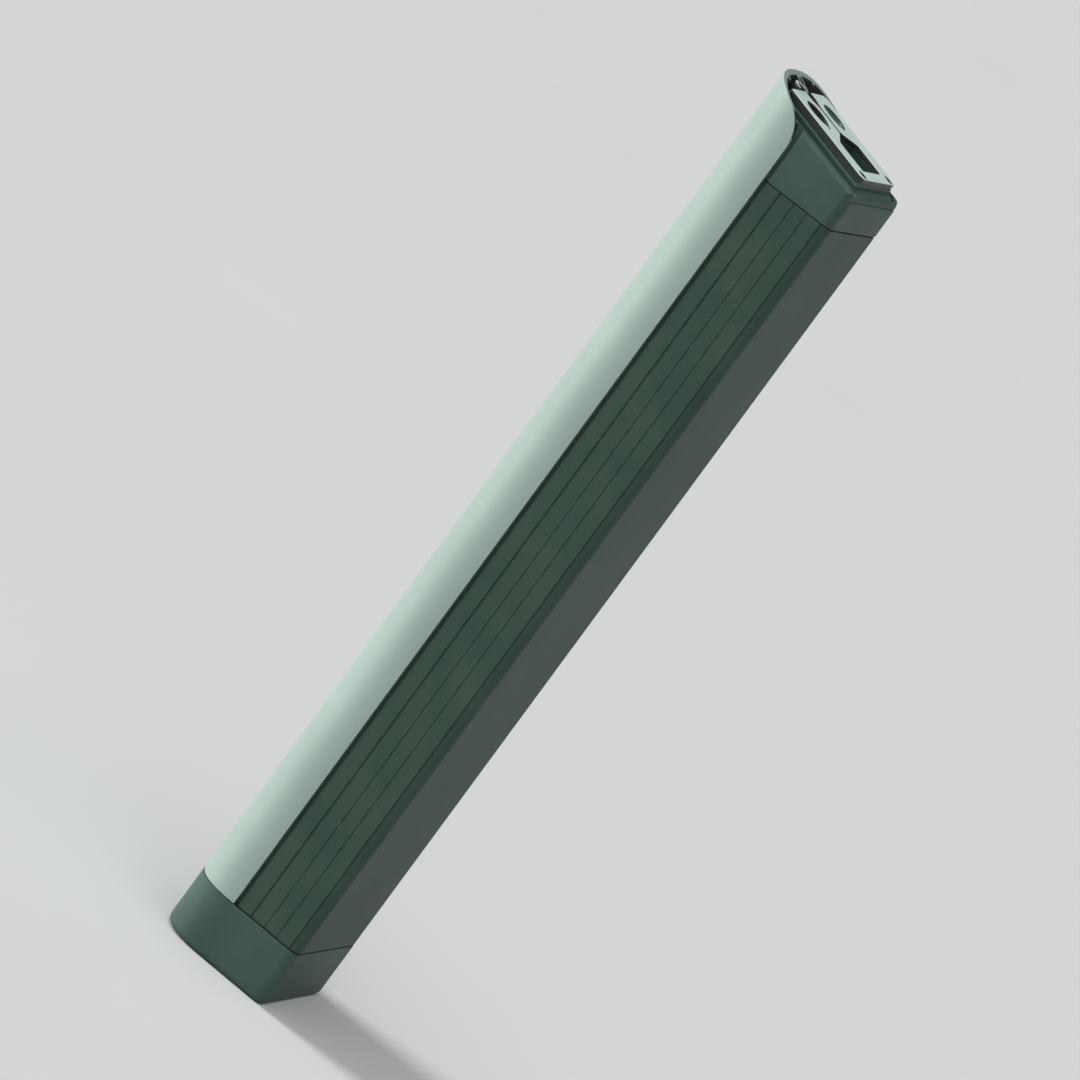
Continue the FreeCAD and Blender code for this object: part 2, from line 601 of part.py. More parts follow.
def make_cover_screw():
    shank = rod(1.2, COVER_SCREW_X, 0, 6.0, 38.0)
    head = rod(2.5, COVER_SCREW_X, 0, 4.2, 6.0)
    return shank.fuse(head).cut(rod(1.0, COVER_SCREW_X, 0, 4, 5.2)).removeSplitter()


def make_vent():
    """Snap-in pressure vent with a domed cap."""
    disc = rod(4.0, VENT_X, 0, 0.5, 2.2)
    stem = tube(1.9, 1.2, VENT_X, 0, 2.0, 12.0)
    return disc.fuse(stem).removeSplitter()


# ---- cells ----
def row_start(row):
    return CELLS_Z0 + row * (CELL_LENGTH + ROW_GAP)


def make_cell(x, y, z0, plus_up):
    nub = 0.6
    body = rod(CELL_RADIUS, x, y, 0, CELL_LENGTH - nub)
    rims = [edge for edge in body.Edges if edge.BoundBox.ZLength < 1e-6]
    body = body.makeFillet(0.5, rims)
    body = body.cut(tube(CELL_RADIUS + 1, CELL_RADIUS - 0.35, x, y, 61.0, 61.9))
    body = body.fuse(rod(3.2, x, y, CELL_LENGTH - nub - 0.2, CELL_LENGTH)).removeSplitter()
    if not plus_up:
        body = body.mirror(Vector(0, 0, CELL_LENGTH / 2), Vector(0, 0, 1))
    body.translate(Vector(0, 0, z0))
    return body


def make_cell_row(row):
    """Six cells, the two layers facing opposite ways, turned over from row to row."""
    cells = []
    for layer, x in enumerate(CELL_XS):
        for y in CELL_YS:
            cells.append(make_cell(x, y, row_start(row), (layer + row) % 2 == 0))
    return Part.makeCompound(cells)


def make_cell_holders():
    """Two honeycomb brackets per row."""
    face = rounded(-14.6, 25.4, -28.4, 28.4, 6, 3)
    holders = []
    for row in range(ROWS):
        for low in (row_start(row) + 5.0, row_start(row) + CELL_LENGTH - 11.0):
            holder = prism(face, low, low + 6.0)
            holes = [rod(CELL_RADIUS + 0.05, x, y, low - 1, low + 7) for x in CELL_XS for y in CELL_YS]
            holes += [rod(2.2, LEAD_X, side * LEAD_Y, low - 1, low + 7) for side in (-1, 1)]
            holes += [rod(PORT_RADIUS + 0.4, x, y, low - 1, low + 7) for x, y in PORTS]
            holes.append(rod(1.6, sum(CELL_XS) / 2, CELL_YS[2] / 2, low - 1, low + 7))
            holder = holder.cut(holes)
            holders.append(holder)
    return holders


def make_nickel_strips():
    """One strip across each group of three cells, at both ends of every row."""
    strips = []
    for row in range(ROWS):
        for low in (row_start(row) - 0.3, row_start(row) + CELL_LENGTH):
            for x in CELL_XS:
                strip = prism(rounded(x - 4, x + 4, -24, 24, 1, 1), low, low + 0.3)
                slots = [box(x - 0.3, x + 0.3, y - 3, y + 3, low - 1, low + 1) for y in CELL_YS]
                strips.append(strip.cut(slots))
    return Part.makeCompound(strips)


def make_row_insulators():
    sheets = []
    for row in range(ROWS + 1):
        low = row_start(row) - ROW_GAP + 0.3
        sheet = prism(rounded(-13.6, 24.4, -28.0, 28.0, 5, 3), low, low + 0.4)
        sheets.append(sheet.cut(at_ports(PORT_RADIUS + 0.4, low - 1, low + 1)))
    return Part.makeCompound(sheets)


def make_foam_pads():
    pads = []
    for row in range(ROWS):
        low = row_start(row) + 14.0
        pads.append(box(24.3, 25.6, -22.0, 22.0, low, low + 37.0))
    return Part.makeCompound(pads)


# ---- battery management board, in the top cap ----
def make_board():
    board = prism(rounded(-11.6, 23.0, -24.4, 24.4, 1, 1), BOARD_Z, BOARD_Z + BOARD_THICK)
    return board.cut([rod(1.1, x, y, 360, 364) for x, y in STANDOFFS])


def make_standoffs():
    top = BOARD_Z + BOARD_THICK
    return Part.makeCompound([tube(2.4, 1.0, x, y, top, CAVITY_TOP) for x, y in STANDOFFS])


def make_board_screws():
    screws = []
    for x, y in STANDOFFS:
        head = rod(2.0, x, y, BOARD_Z - 0.9, BOARD_Z)
        screws.append(rod(1.0, x, y, BOARD_Z, 369.0).fuse(head).removeSplitter())
    return Part.makeCompound(screws)


def make_transistors():
    low = BOARD_Z + BOARD_THICK
    blocks = [box(-4.0, 0.6, y - 2.6, y + 2.6, low, low + 6.5) for y in (-15.0, -9.0, -3.0, 3.0, 9.0, 15.0)]
    return Part.makeCompound(blocks)


def make_heat_spreader():
    """Finned bar that the transistors lean on."""
    low = BOARD_Z + BOARD_THICK
    bar = box(0.6, 3.0, -18.5, 18.5, low, low + 8.0)
    cuts = [box(1.9, 3.5, y - 0.6, y + 0.6, low + 1, low + 9) for y in range(-16, 17, 4)]
    return bar.cut(cuts)


def make_fuse_holder():
    low = BOARD_Z + BOARD_THICK
    return box(14.6, 20.4, -10.0, 10.0, low, low + 4.0).cut(box(16.0, 19.0, -8.6, 8.6, low + 1.0, low + 5))


def make_fuse():
    low = BOARD_Z + BOARD_THICK
    body = box(15.9, 19.1, -9.0, 9.0, low + 4.0, low + 8.4)
    blades = [box(17.2, 17.8, y - 2, y + 2, low + 1.0, low + 4.2) for y in (-6.0, 6.0)]
    return body.fuse(blades).removeSplitter()


def make_terminals():
    low = BOARD_Z + BOARD_THICK
    blocks = [box(LEAD_X - 2.8, LEAD_X + 2.8, min(side * 16.0, side * 21.0), max(side * 16.0, side * 21.0),
                  low, low + 8.4) for side in (-1, 1)]
    return Part.makeCompound(blocks)


def make_balance_socket():
    low = BOARD_Z + BOARD_THICK
    shell = box(5.2, 11.0, -13.5, 13.5, low, low + 5.5)
    shell = shell.cut(box(6.0, 10.2, -12.7, 12.7, low + 1.2, low + 6))
    pins = [rod(0.3, 8.1, -11.0 + 2.2 * number, low + 1.0, low + 4.5) for number in range(11)]
    return shell.fuse(pins).removeSplitter()


def lead_route(y_start, z_start, y_far, z_bend):
    """Arc and two straight runs in the plane x = LEAD_X: out across the pack, then along it."""
    side = math.copysign(1, y_far)
    up = math.copysign(1, z_bend - z_start)
    bend = LEAD_BEND
    turn_start = Vector(LEAD_X, y_far - side * bend, z_start)
    turn_end = Vector(LEAD_X, y_far, z_start + up * bend)
    centre = Vector(LEAD_X, y_far - side * bend, z_start + up * bend)
    half = math.sqrt(0.5)
    middle = centre + Vector(0, side * half * bend, -up * half * bend)
    return [Part.LineSegment(Vector(LEAD_X, y_start, z_start), turn_start).toShape(),
            Part.Arc(turn_start, middle, turn_end).toShape()], turn_end


def make_power_lead(side):
    """Lead from a connector blade, up the side of the cells and over to the board's terminal."""
    low_z = 21.9
    high_z = 368.2
    y_far = side * LEAD_Y
    low_edges, low_end = lead_route(side * (BLADE_Y + 0.6), low_z, y_far, 200)
    high_edges, high_end = lead_route(side * 21.0, high_z, y_far, 200)
    rise = Part.LineSegment(low_end, high_end).toShape()
    path = Part.Wire(Part.__sortEdges__(low_edges + [rise] + high_edges))
    start = Vector(LEAD_X, side * (BLADE_Y + 0.6), low_z)
    section = Part.Wire(Part.makeCircle(LEAD_RADIUS, start, Vector(0, 1, 0)))
    return path.makePipeShell([section], True, True)


def make_charge_leads():
    """Two short wires from the charging socket down to the board."""
    leads = [rod(0.8, -10.6, -HOLE_Y + offset, BOARD_Z + BOARD_THICK, 378.4) for offset in (-1.3, 1.3)]
    socket = make_charge_socket()
    return Part.makeCompound([lead.cut(socket) for lead in leads])


def make_button_ribbon():
    ribbon = box(-11.4, -10.2, HOLE_Y - 1.6, HOLE_Y + 1.6, BOARD_Z + BOARD_THICK, 380.5)
    return ribbon.cut(make_switch_board())


def make_thermistor():
    """Bead between the cells of the top row, on a thin pair that runs up to the board."""
    bead_z = row_start(4) + 45.0
    middle_x = sum(CELL_XS) / 2
    bead = Part.makeSphere(1.4, Vector(middle_x, CELL_YS[2] / 2, bead_z))
    wire = rod(0.5, middle_x, CELL_YS[2] / 2, bead_z, row_start(5) - ROW_GAP)
    return bead.fuse(wire).removeSplitter()


def main():
    nodes = {
        "cover": make_cover(),
        "casing": make_casing(),
        "top_cap": make_top_cap(),
        "top_gasket": cap_gasket(CASING_Z1, TOP_CAP_Z),
        "top_cap_screws": cap_screws(370.0, 352.0, 1),
        "end_plate": make_end_plate(),
        "end_plate_screws": make_plate_screws(),
        "latch_pin": make_latch_pin(),
        "charge_socket": make_charge_socket(),
        "charge_pin": make_charge_pin(),
        "charge_contact": make_charge_contact(),
        "button_bezel": make_button_bezel(),
        "light_ring": make_light_ring(),
        "power_button": make_button_cap(),
        "button_spring": make_button_spring(),
        "switch_body": make_switch_body(),
        "switch_plunger": make_switch_plunger(),
        "switch_board": make_switch_board(),
        "bottom_cap": make_bottom_cap(),
        "bottom_gasket": cap_gasket(BOTTOM_CAP_Z, CASING_Z0),
        "bottom_cap_screws": cap_screws(7.0, 37.0, -1),
        "cover_screw": make_cover_screw(),
        "discharge_connector": make_connector(),
        "power_contacts": make_power_contacts(),
        "signal_contacts": make_signal_contacts(),
        "connector_screws": make_connector_screws(),
        "pressure_vent": make_vent(),
        "cell_holders": Part.makeCompound(make_cell_holders()),
        "nickel_strips": make_nickel_strips(),
        "row_insulators": make_row_insulators(),
        "foam_pads": make_foam_pads(),
        "control_board": make_board(),
        "board_standoffs": make_standoffs(),
        "board_screws": make_board_screws(),
        "transistors": make_transistors(),
        "heat_spreader": make_heat_spreader(),
        "fuse_holder": make_fuse_holder(),
        "fuse": make_fuse(),
        "lead_terminals": make_terminals(),
        "balance_socket": make_balance_socket(),
        "positive_lead": make_power_lead(1),
        "negative_lead": make_power_lead(-1),
        "charge_leads": make_charge_leads(),
        "button_ribbon": make_button_ribbon(),
        "thermistor": make_thermistor(),
    }
    for row in range(ROWS):
        nodes["cell_row_%d" % (row + 1)] = make_cell_row(row)
    os.makedirs("parts", exist_ok=True)
    for name, shape in nodes.items():
        shape.exportStep("parts/%s.step" % name)
        print("%-20s solids %3d  volume %10.1f  valid %s"
              % (name, len(shape.Solids), shape.Volume, shape.isValid()))


main()
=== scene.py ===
"""Looks of a slide-in battery pack for an electric bicycle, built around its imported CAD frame.

The file follows the pack as it is put together, from the cells outwards to the painted cover.
Sizes are in millimetres and become metres when a piece is laid. +Z runs up the pack to its end
plate, -X faces the arched cover and +X the belly that lies in the bicycle's frame.
"""
import math

import bmesh
import bpy
import numpy as np
from mathutils import Matrix, Vector
from mathutils.geometry import tessellate_polygon


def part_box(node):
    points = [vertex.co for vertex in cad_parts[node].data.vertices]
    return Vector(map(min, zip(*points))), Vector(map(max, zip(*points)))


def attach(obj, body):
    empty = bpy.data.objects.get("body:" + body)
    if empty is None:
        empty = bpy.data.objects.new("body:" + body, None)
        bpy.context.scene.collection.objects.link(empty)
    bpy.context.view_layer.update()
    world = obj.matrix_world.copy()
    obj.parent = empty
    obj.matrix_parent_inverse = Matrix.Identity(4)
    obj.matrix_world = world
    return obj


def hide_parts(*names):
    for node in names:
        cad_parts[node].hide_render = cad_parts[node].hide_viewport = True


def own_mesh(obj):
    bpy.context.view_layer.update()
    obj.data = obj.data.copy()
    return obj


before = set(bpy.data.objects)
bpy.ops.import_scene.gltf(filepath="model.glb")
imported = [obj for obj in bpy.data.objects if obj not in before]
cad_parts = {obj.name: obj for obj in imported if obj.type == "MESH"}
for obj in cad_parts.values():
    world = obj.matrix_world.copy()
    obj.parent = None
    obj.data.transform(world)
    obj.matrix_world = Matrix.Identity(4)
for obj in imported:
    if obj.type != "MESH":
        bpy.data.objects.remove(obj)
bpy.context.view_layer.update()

# ---- cells -------------------------------------------------------------------------------
# Thirty round lithium cells: five rows of six, lying along the pack. Each is a drawn steel can,
# crimped over a steel top, inside a shrunk plastic sleeve that covers the rim of both ends.
CELL_RADIUS = 9.1
CELL_TURNS = 48
CRIMP_DOWN = 3.6
SLEEVE_REACH = 7.4
SLEEVE_COLOUR = (38, 116, 104)
CAN_COLOUR = (176, 180, 178)


def span(node):
    """A CAD node's lowest and highest corners, in millimetres."""
    low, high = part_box(node)
    return np.array(low) * 1000, np.array(high) * 1000


def eased(outline, size, closed=True):
    """Cuts every corner of an outline back by size along both edges, and puts a third point half
    way between the corner and the middle of the cut, so that the corner is a short soft turn."""
    before = np.roll(outline, 1, axis=0) - outline
    after = np.roll(outline, -1, axis=0) - outline
    reach_before = np.linalg.norm(before, axis=1, keepdims=True)
    reach_after = np.linalg.norm(after, axis=1, keepdims=True)
    first = outline + before * np.minimum(size / np.maximum(reach_before, 1e-9), 0.45)
    last = outline + after * np.minimum(size / np.maximum(reach_after, 1e-9), 0.45)
    middle = (first + last) / 4 + outline / 2
    points = np.stack((first, middle, last), axis=1)
    if closed:
        return points.reshape(-1, outline.shape[1])
    inner = points[1:-1].reshape(-1, outline.shape[1])
    return np.concatenate((outline[:1], inner, outline[-1:]))


def walls(rings, around, start=0, closed=False):
    """Quads between each ring of points and the next, for rings of that many points around whose
    numbers count on from start. When closed, the last ring joins the first."""
    ring = np.arange(rings if closed else rings - 1)[:, None]
    here = np.arange(around)[None]
    onward = (here + 1) % around
    above = (ring + 1) % rings
    quads = np.stack((ring * around + here, ring * around + onward,
                      above * around + onward, above * around + here), axis=2)
    return (start + quads.reshape(-1, 4)).tolist()


def fan(first, around, tip, upward):
    """Triangles from a ring of points, whose first number is given, to one point at its tip."""
    here = first + np.arange(around)
    onward = first + (np.arange(around) + 1) % around
    pair = (here, onward) if upward else (onward, here)
    return np.stack((*pair, np.full(around, tip)), axis=1).tolist()


def turned(profile, turns=64, closed=False):
    """Surface of revolution about the third axis: at the angle a, a profile point (r, h) goes to
    (r cos a, r sin a, h). The profile runs with its material on the left. A closed profile makes
    a ring, and an open one starts and ends on the axis, where triangles close it."""
    body = profile if closed else profile[1:-1]
    angle = np.arange(turns) * (2 * np.pi / turns)
    circle = np.stack((np.cos(angle), np.sin(angle)), axis=1)
    rings = np.empty((len(body), turns, 3))
    rings[:, :, :2] = body[:, None, :1] * circle[None]
    rings[:, :, 2] = body[:, 1:]
    points = rings.reshape(-1, 3)
    faces = walls(len(body), turns, closed=closed)
    if not closed:
        bottom, top = len(points), len(points) + 1
        points = np.concatenate((points, [[0, 0, profile[0, 1]], [0, 0, profile[-1, 1]]]))
        faces += fan(0, turns, bottom, False) + fan((len(body) - 1) * turns, turns, top, True)
    return points, faces


def joined(*surfaces):
    """Several surfaces as one: their points are stacked, and each one's faces count on."""
    points = np.concatenate([surface[0] for surface in surfaces])
    faces = []
    start = 0
    for surface in surfaces:
        faces += [[start + corner for corner in face] for face in surface[1]]
        start += len(surface[0])
    return points, faces


def moved(surface, shift):
    """The surface moved by the shift."""
    return surface[0] + np.array(shift, float), surface[1]


def flipped(surface, axis, about):
    """The surface mirrored in the plane where the axis is about, its faces turned the right way."""
    points = surface[0].copy()
    points[:, axis] = 2 * about - points[:, axis]
    return points, [face[::-1] for face in surface[1]]


def laid(name, surface, body, nodes, finishes, sharp=32):
    """Puts a surface into the scene as a piece, in metres, with smooth faces between its edges of
    more than the sharp angle. The piece rides on its body and stands for its CAD nodes."""
    mesh = bpy.data.meshes.new(name)
    mesh.from_pydata(surface[0] / 1000, [], surface[1])
    mesh.shade_smooth()
    mesh.set_sharp_from_angle(angle=math.radians(sharp))
    for finish in finishes:
        mesh.materials.append(finish)
    made = bpy.data.objects.new(name, mesh)
    bpy.context.scene.collection.objects.link(made)
    weighted = made.modifiers.new("even_normals", "WEIGHTED_NORMAL")
    weighted.keep_sharp = True
    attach(made, body)
    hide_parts(*nodes)
    return made


def per_face(piece, measure):
    """Each face's centre or normal, in metres, as rows of three."""
    values = np.zeros(len(piece.data.polygons) * 3)
    piece.data.polygons.foreach_get(measure, values)
    return values.reshape(-1, 3)


def second_finish(piece, chosen):
    """Gives the chosen faces the piece's second material."""
    piece.data.polygons.foreach_set("material_index", chosen.astype(np.int32))


def light(colour):
    """A colour given as 0 to 255 for a screen, as the linear light that the shader works in."""
    share = np.array(colour) / 255
    linear = np.where(share <= 0.04045, share / 12.92, ((share + 0.055) / 1.055) ** 2.4)
    return (*linear, 1.0)


def effect(name, inputs, outputs):
    """An empty shader group with its named sockets, and its input and output nodes."""
    group = bpy.data.node_groups.new(name, "ShaderNodeTree")
    for label, kind, value in inputs:
        socket = group.interface.new_socket(label, in_out="INPUT", socket_type=kind)
        if value is not None:
            socket.default_value = value
    for label in outputs:
        group.interface.new_socket(label, in_out="OUTPUT", socket_type="NodeSocketFloat")
    return group, group.nodes.new("NodeGroupInput"), group.nodes.new("NodeGroupOutput")


def maths(tree, operation, first, second, clamp=False):
    """One Math node. Each of its two inputs is a number or a socket, and it gives its output."""
    node = tree.nodes.new("ShaderNodeMath")
    node.operation = operation
    node.use_clamp = clamp
    for number, value in enumerate((first, second)):
        if isinstance(value, bpy.types.NodeSocket):
            tree.links.new(value, node.inputs[number])
        else:
            node.inputs[number].default_value = value
    return node.outputs[0]


def noise(tree, vector, scale, detail, roughness=0.55):
    """One Noise node on the vector, whose scale is a number or a socket."""
    node = tree.nodes.new("ShaderNodeTexNoise")
    node.inputs["Detail"].default_value = detail
    node.inputs["Roughness"].default_value = roughness
    if isinstance(scale, bpy.types.NodeSocket):
        tree.links.new(scale, node.inputs["Scale"])
    else:
        node.inputs["Scale"].default_value = scale
    tree.links.new(vector, node.inputs["Vector"])
    return node.outputs["Fac"]


def grain_effect():
    """Fine height of a moulded, sprayed or cast face, and slow patches of tone across it."""
    group, start, end = effect("grain", [
        ("Vector", "NodeSocketVector", None), ("Per metre", "NodeSocketFloat", 2500.0),
        ("Patches per metre", "NodeSocketFloat", 30.0)], ["Height", "Tone"])
    fine = noise(group, start.outputs["Vector"], start.outputs["Per metre"], 3.0, 0.6)
    slow = noise(group, start.outputs["Vector"], start.outputs["Patches per metre"], 4.0)
    tone = maths(group, "ADD", maths(group, "MULTIPLY", slow, 0.8), maths(group, "MULTIPLY", fine, 0.2))
    group.links.new(fine, end.inputs["Height"])
    group.links.new(tone, end.inputs["Tone"])
    return group


def streak_effect():
    """Long thin lines such as an extrusion die or a roller leaves, from noise on a vector that is
    scaled much more across the lines than along them."""
    group, start, end = effect("streaks", [
        ("Vector", "NodeSocketVector", None), ("Stretch", "NodeSocketVector", (2500.0, 2500.0, 12.0)),
        ], ["Height"])
    scaled = group.nodes.new("ShaderNodeVectorMath")
    scaled.operation = "MULTIPLY"
    group.links.new(start.outputs["Vector"], scaled.inputs[0])
    group.links.new(start.outputs["Stretch"], scaled.inputs[1])
    group.links.new(noise(group, scaled.outputs[0], 1.0, 2.0), end.inputs["Height"])
    return group


def rubbed_edge_effect():
    """Where hands and rails rub a piece: how far a rounded normal leaves the flat one, broken up
    by noise, so that the mask is 0 on faces and rises to 1 along outside and inside edges."""
    group, start, end = effect("rubbed_edges", [
        ("Vector", "NodeSocketVector", None), ("Width", "NodeSocketFloat", 0.0005),
        ("Amount", "NodeSocketFloat", 0.5)], ["Mask"])
    rounded = group.nodes.new("ShaderNodeBevel")
    rounded.samples = 4
    group.links.new(start.outputs["Width"], rounded.inputs["Radius"])
    flat = group.nodes.new("ShaderNodeNewGeometry")
    agree = group.nodes.new("ShaderNodeVectorMath")
    agree.operation = "DOT_PRODUCT"
    group.links.new(rounded.outputs["Normal"], agree.inputs[0])
    group.links.new(flat.outputs["Normal"], agree.inputs[1])
    edge = maths(group, "MULTIPLY", maths(group, "SUBTRACT", 1.0, agree.outputs["Value"]), 5.0, clamp=True)
    broken = noise(group, start.outputs["Vector"], 420.0, 4.0, 0.65)
    kept = maths(group, "MULTIPLY", maths(group, "SUBTRACT", broken, 0.36), 4.0, clamp=True)
    mask = maths(group, "MULTIPLY", edge, kept)
    group.links.new(maths(group, "MULTIPLY", mask, start.outputs["Amount"], clamp=True), end.inputs["Mask"])
    return group


def dust_effect():
    """Thin uneven film of dust: slow noise decides where it lies and fine noise breaks it up."""
    group, start, end = effect("dust_film", [
        ("Vector", "NodeSocketVector", None), ("Amount", "NodeSocketFloat", 0.2)], ["Mask"])
    where = noise(group, start.outputs["Vector"], 38.0, 5.0, 0.6)
    specks = noise(group, start.outputs["Vector"], 1400.0, 2.0)
    film = maths(group, "MULTIPLY", maths(group, "SUBTRACT", where, 0.42), 4.0, clamp=True)
    mask = maths(group, "MULTIPLY", film, specks)
    group.links.new(maths(group, "MULTIPLY", mask, start.outputs["Amount"], clamp=True), end.inputs["Mask"])
    return group


GRAIN = grain_effect()
STREAKS = streak_effect()
RUBBED = rubbed_edge_effect()
DUST = dust_effect()
DUST_COLOUR = (150, 152, 144)


def placed(tree, group, vector, values):
    """A shared effect in a material, fed with the vector and its own values."""
    node = tree.nodes.new("ShaderNodeGroup")
    node.node_tree = group
    tree.links.new(vector, node.inputs["Vector"])
    for label, value in values.items():
        node.inputs[label].default_value = value
    return node


def blended(tree, mask, first, second):
    """A colour that goes from the first to the second as the mask goes from 0 to 1."""
    node = tree.nodes.new("ShaderNodeMix")
    node.data_type = "RGBA"
    tree.links.new(mask, node.inputs["Factor"])
    for number, value in ((6, first), (7, second)):
        if isinstance(value, bpy.types.NodeSocket):
            tree.links.new(value, node.inputs[number])
        else:
            node.inputs[number].default_value = value
    return node.outputs[2]


def finish(name, dark, pale, roughness, metallic=0.0, grain=0.4, depth=0.01, patch=30.0, streaks=None,
           streak_depth=0.0, rubbed=None, rub_width=0.5, rub_amount=0.5, dust=0.15, uneven=0.12, **constants):
    """A real surface: two tones in slow patches, grain or drawn lines in its height, rubbed edges
    and a film of dust, which also change its roughness. grain is the size of the grain, depth its
    height and patch the size of the patches, in millimetres; constants go on the shader's own
    sockets."""
    material = bpy.data.materials.new(name)
    material.use_nodes = True
    tree = material.node_tree
    shader = tree.nodes["Principled BSDF"]
    for label, value in constants.items():
        shader.inputs[label.replace("_", " ").title().replace("Ior", "IOR")].default_value = value
    shader.inputs["Metallic"].default_value = metallic
    where = tree.nodes.new("ShaderNodeTexCoord").outputs["Object"]
    face = placed(tree, GRAIN, where, {"Per metre": 1000 / grain, "Patches per metre": 1000 / patch})
    spread = maths(tree, "MULTIPLY", maths(tree, "SUBTRACT", face.outputs["Tone"], 0.3), 2.5, clamp=True)
    colour = blended(tree, spread, light(dark), light(pale))
    height = maths(tree, "MULTIPLY", face.outputs["Height"], depth / 1000)
    if streaks is not None:
        lines = placed(tree, STREAKS, where, {"Stretch": streaks})
        drawn = maths(tree, "MULTIPLY", lines.outputs["Height"], streak_depth / 1000)
        height = maths(tree, "ADD", height, drawn)
        spread = maths(tree, "ADD", maths(tree, "MULTIPLY", spread, 0.5),
                       maths(tree, "MULTIPLY", lines.outputs["Height"], 0.5))
        colour = blended(tree, spread, light(dark), light(pale))
    swing = maths(tree, "MULTIPLY", maths(tree, "SUBTRACT", spread, 0.5), uneven)
    gloss = maths(tree, "ADD", swing, roughness)
    film = placed(tree, DUST, where, {"Amount": dust})
    if rubbed is not None:
        edges = placed(tree, RUBBED, where, {"Width": rub_width / 1000, "Amount": rub_amount})
        colour = blended(tree, edges.outputs["Mask"], colour, light(rubbed))
        gloss = maths(tree, "SUBTRACT", gloss, maths(tree, "MULTIPLY", edges.outputs["Mask"], 0.12))
    colour = blended(tree, film.outputs["Mask"], colour, light(DUST_COLOUR))
    gloss = maths(tree, "ADD", gloss, maths(tree, "MULTIPLY", film.outputs["Mask"], 0.4), clamp=True)
    tree.links.new(colour, shader.inputs["Base Color"])
    tree.links.new(gloss, shader.inputs["Roughness"])
    bump = tree.nodes.new("ShaderNodeBump")
    bump.inputs["Distance"].default_value = 1.0
    bump.inputs["Strength"].default_value = 1.0
    tree.links.new(height, bump.inputs["Height"])
    tree.links.new(bump.outputs["Normal"], shader.inputs["Normal"])
    return material


sleeve = finish("shrunk_sleeve", (30, 98, 88), SLEEVE_COLOUR, 0.34, grain=0.8, depth=0.004, patch=14,
                streaks=(900.0, 900.0, 30.0), streak_depth=0.006, dust=0.05, coat_weight=0.2)
can_steel = finish("plated_can", (140, 144, 143), CAN_COLOUR, 0.3, metallic=1.0, grain=0.25, depth=0.003,
                   patch=6, dust=0.03)


def cell(length):
    """One cell with its positive end up: a turned profile from the flat base, up the side to the
    crimp groove near the top, over the rim and down to the raised contact."""
    crimp = length - CRIMP_DOWN
    profile = np.array([
        (0, 0), (7.6, 0), (CELL_RADIUS, 0), (CELL_RADIUS, crimp - 0.5), (CELL_RADIUS - 0.35, crimp),
        (CELL_RADIUS, crimp + 0.5), (CELL_RADIUS, length - 0.6), (7.6, length - 0.6), (6.4, length - 0.7),
        (5.2, length - 1.0), (3.9, length - 0.9), (3.2, length), (0, length)])
    return turned(eased(profile, 0.3, closed=False), CELL_TURNS)


for row in range(1, 6):
    node = "cell_row_%d" % row
    low, high = span(node)
    cell_length = high[2] - low[2]
    row_cells = []
    upright = cell(cell_length)
    for layer, x in enumerate((low[0] + CELL_RADIUS, high[0] - CELL_RADIUS)):
        for y in (low[1] + CELL_RADIUS, 0.0, high[1] - CELL_RADIUS):
            plus_up = (layer + row) % 2 == 1
            one = upright if plus_up else flipped(upright, 2, cell_length / 2)
            row_cells.append(moved(one, (x, y, low[2])))
    cells = laid("cells_%d" % row, joined(*row_cells), "pack", [node], [sleeve, can_steel])
    centres = per_face(cells, "center") * 1000
    off_axis = np.min([np.hypot(centres[:, 0] - x, centres[:, 1] - y)
                       for x in (low[0] + CELL_RADIUS, high[0] - CELL_RADIUS)
                       for y in (low[1] + CELL_RADIUS, 0.0, high[1] - CELL_RADIUS)], axis=0)
    second_finish(cells, off_axis < SLEEVE_REACH)

# ---- cell brackets, strips and insulation --------------------------------------------------
# Two moulded honeycomb brackets hold each row, nickel strips are spot-welded across its ends,
# fish-paper sheets part the rows, and foam pads take up the slack against the casing's belly.
STRIP_STRETCH = (200.0, 40.0, 200.0)


def dressed(nodes, material):
    """Gives CAD nodes whose shape is right their finish."""
    for node in nodes:
        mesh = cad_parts[node].data
        mesh.materials.clear()
        mesh.materials.append(material)


dressed(["cell_holders"],
        finish("bracket_plastic", (24, 26, 26), (36, 38, 38), 0.52, grain=0.5, depth=0.012, patch=18,
               rubbed=(70, 72, 72), rub_amount=0.3, dust=0.05))
dressed(["nickel_strips"],
        finish("rolled_nickel", (150, 146, 136), (186, 182, 172), 0.3, metallic=1.0, grain=0.3, depth=0.002,
               patch=8, streaks=STRIP_STRETCH, streak_depth=0.003, dust=0.03))
dressed(["row_insulators"],
        finish("fish_paper", (166, 172, 160), (196, 200, 186), 0.82, grain=0.35, depth=0.02, patch=9,
               dust=0.1))

FOAM_EDGE = 0.45
LEAST_STEP = 0.02
foam = finish("foam_sheet", (44, 46, 46), (66, 68, 67), 0.95, grain=0.45, depth=0.12, patch=6, dust=0.1)


def inset(loop, amount):
    """Moves each corner of a closed outline to its left by amount, along the mean of its two
    edges' left-hand normals, and further where the corner is sharp."""
    along = np.roll(loop, -1, axis=0) - loop
    along /= np.linalg.norm(along, axis=1, keepdims=True)
    left = np.column_stack((-along[:, 1], along[:, 0]))
    mean = left + np.roll(left, 1, axis=0)
    mean /= np.linalg.norm(mean, axis=1, keepdims=True)
    reach = 1.0 / np.clip((mean * left).sum(axis=1, keepdims=True), 0.5, 1.0)
    return loop + mean * amount * reach


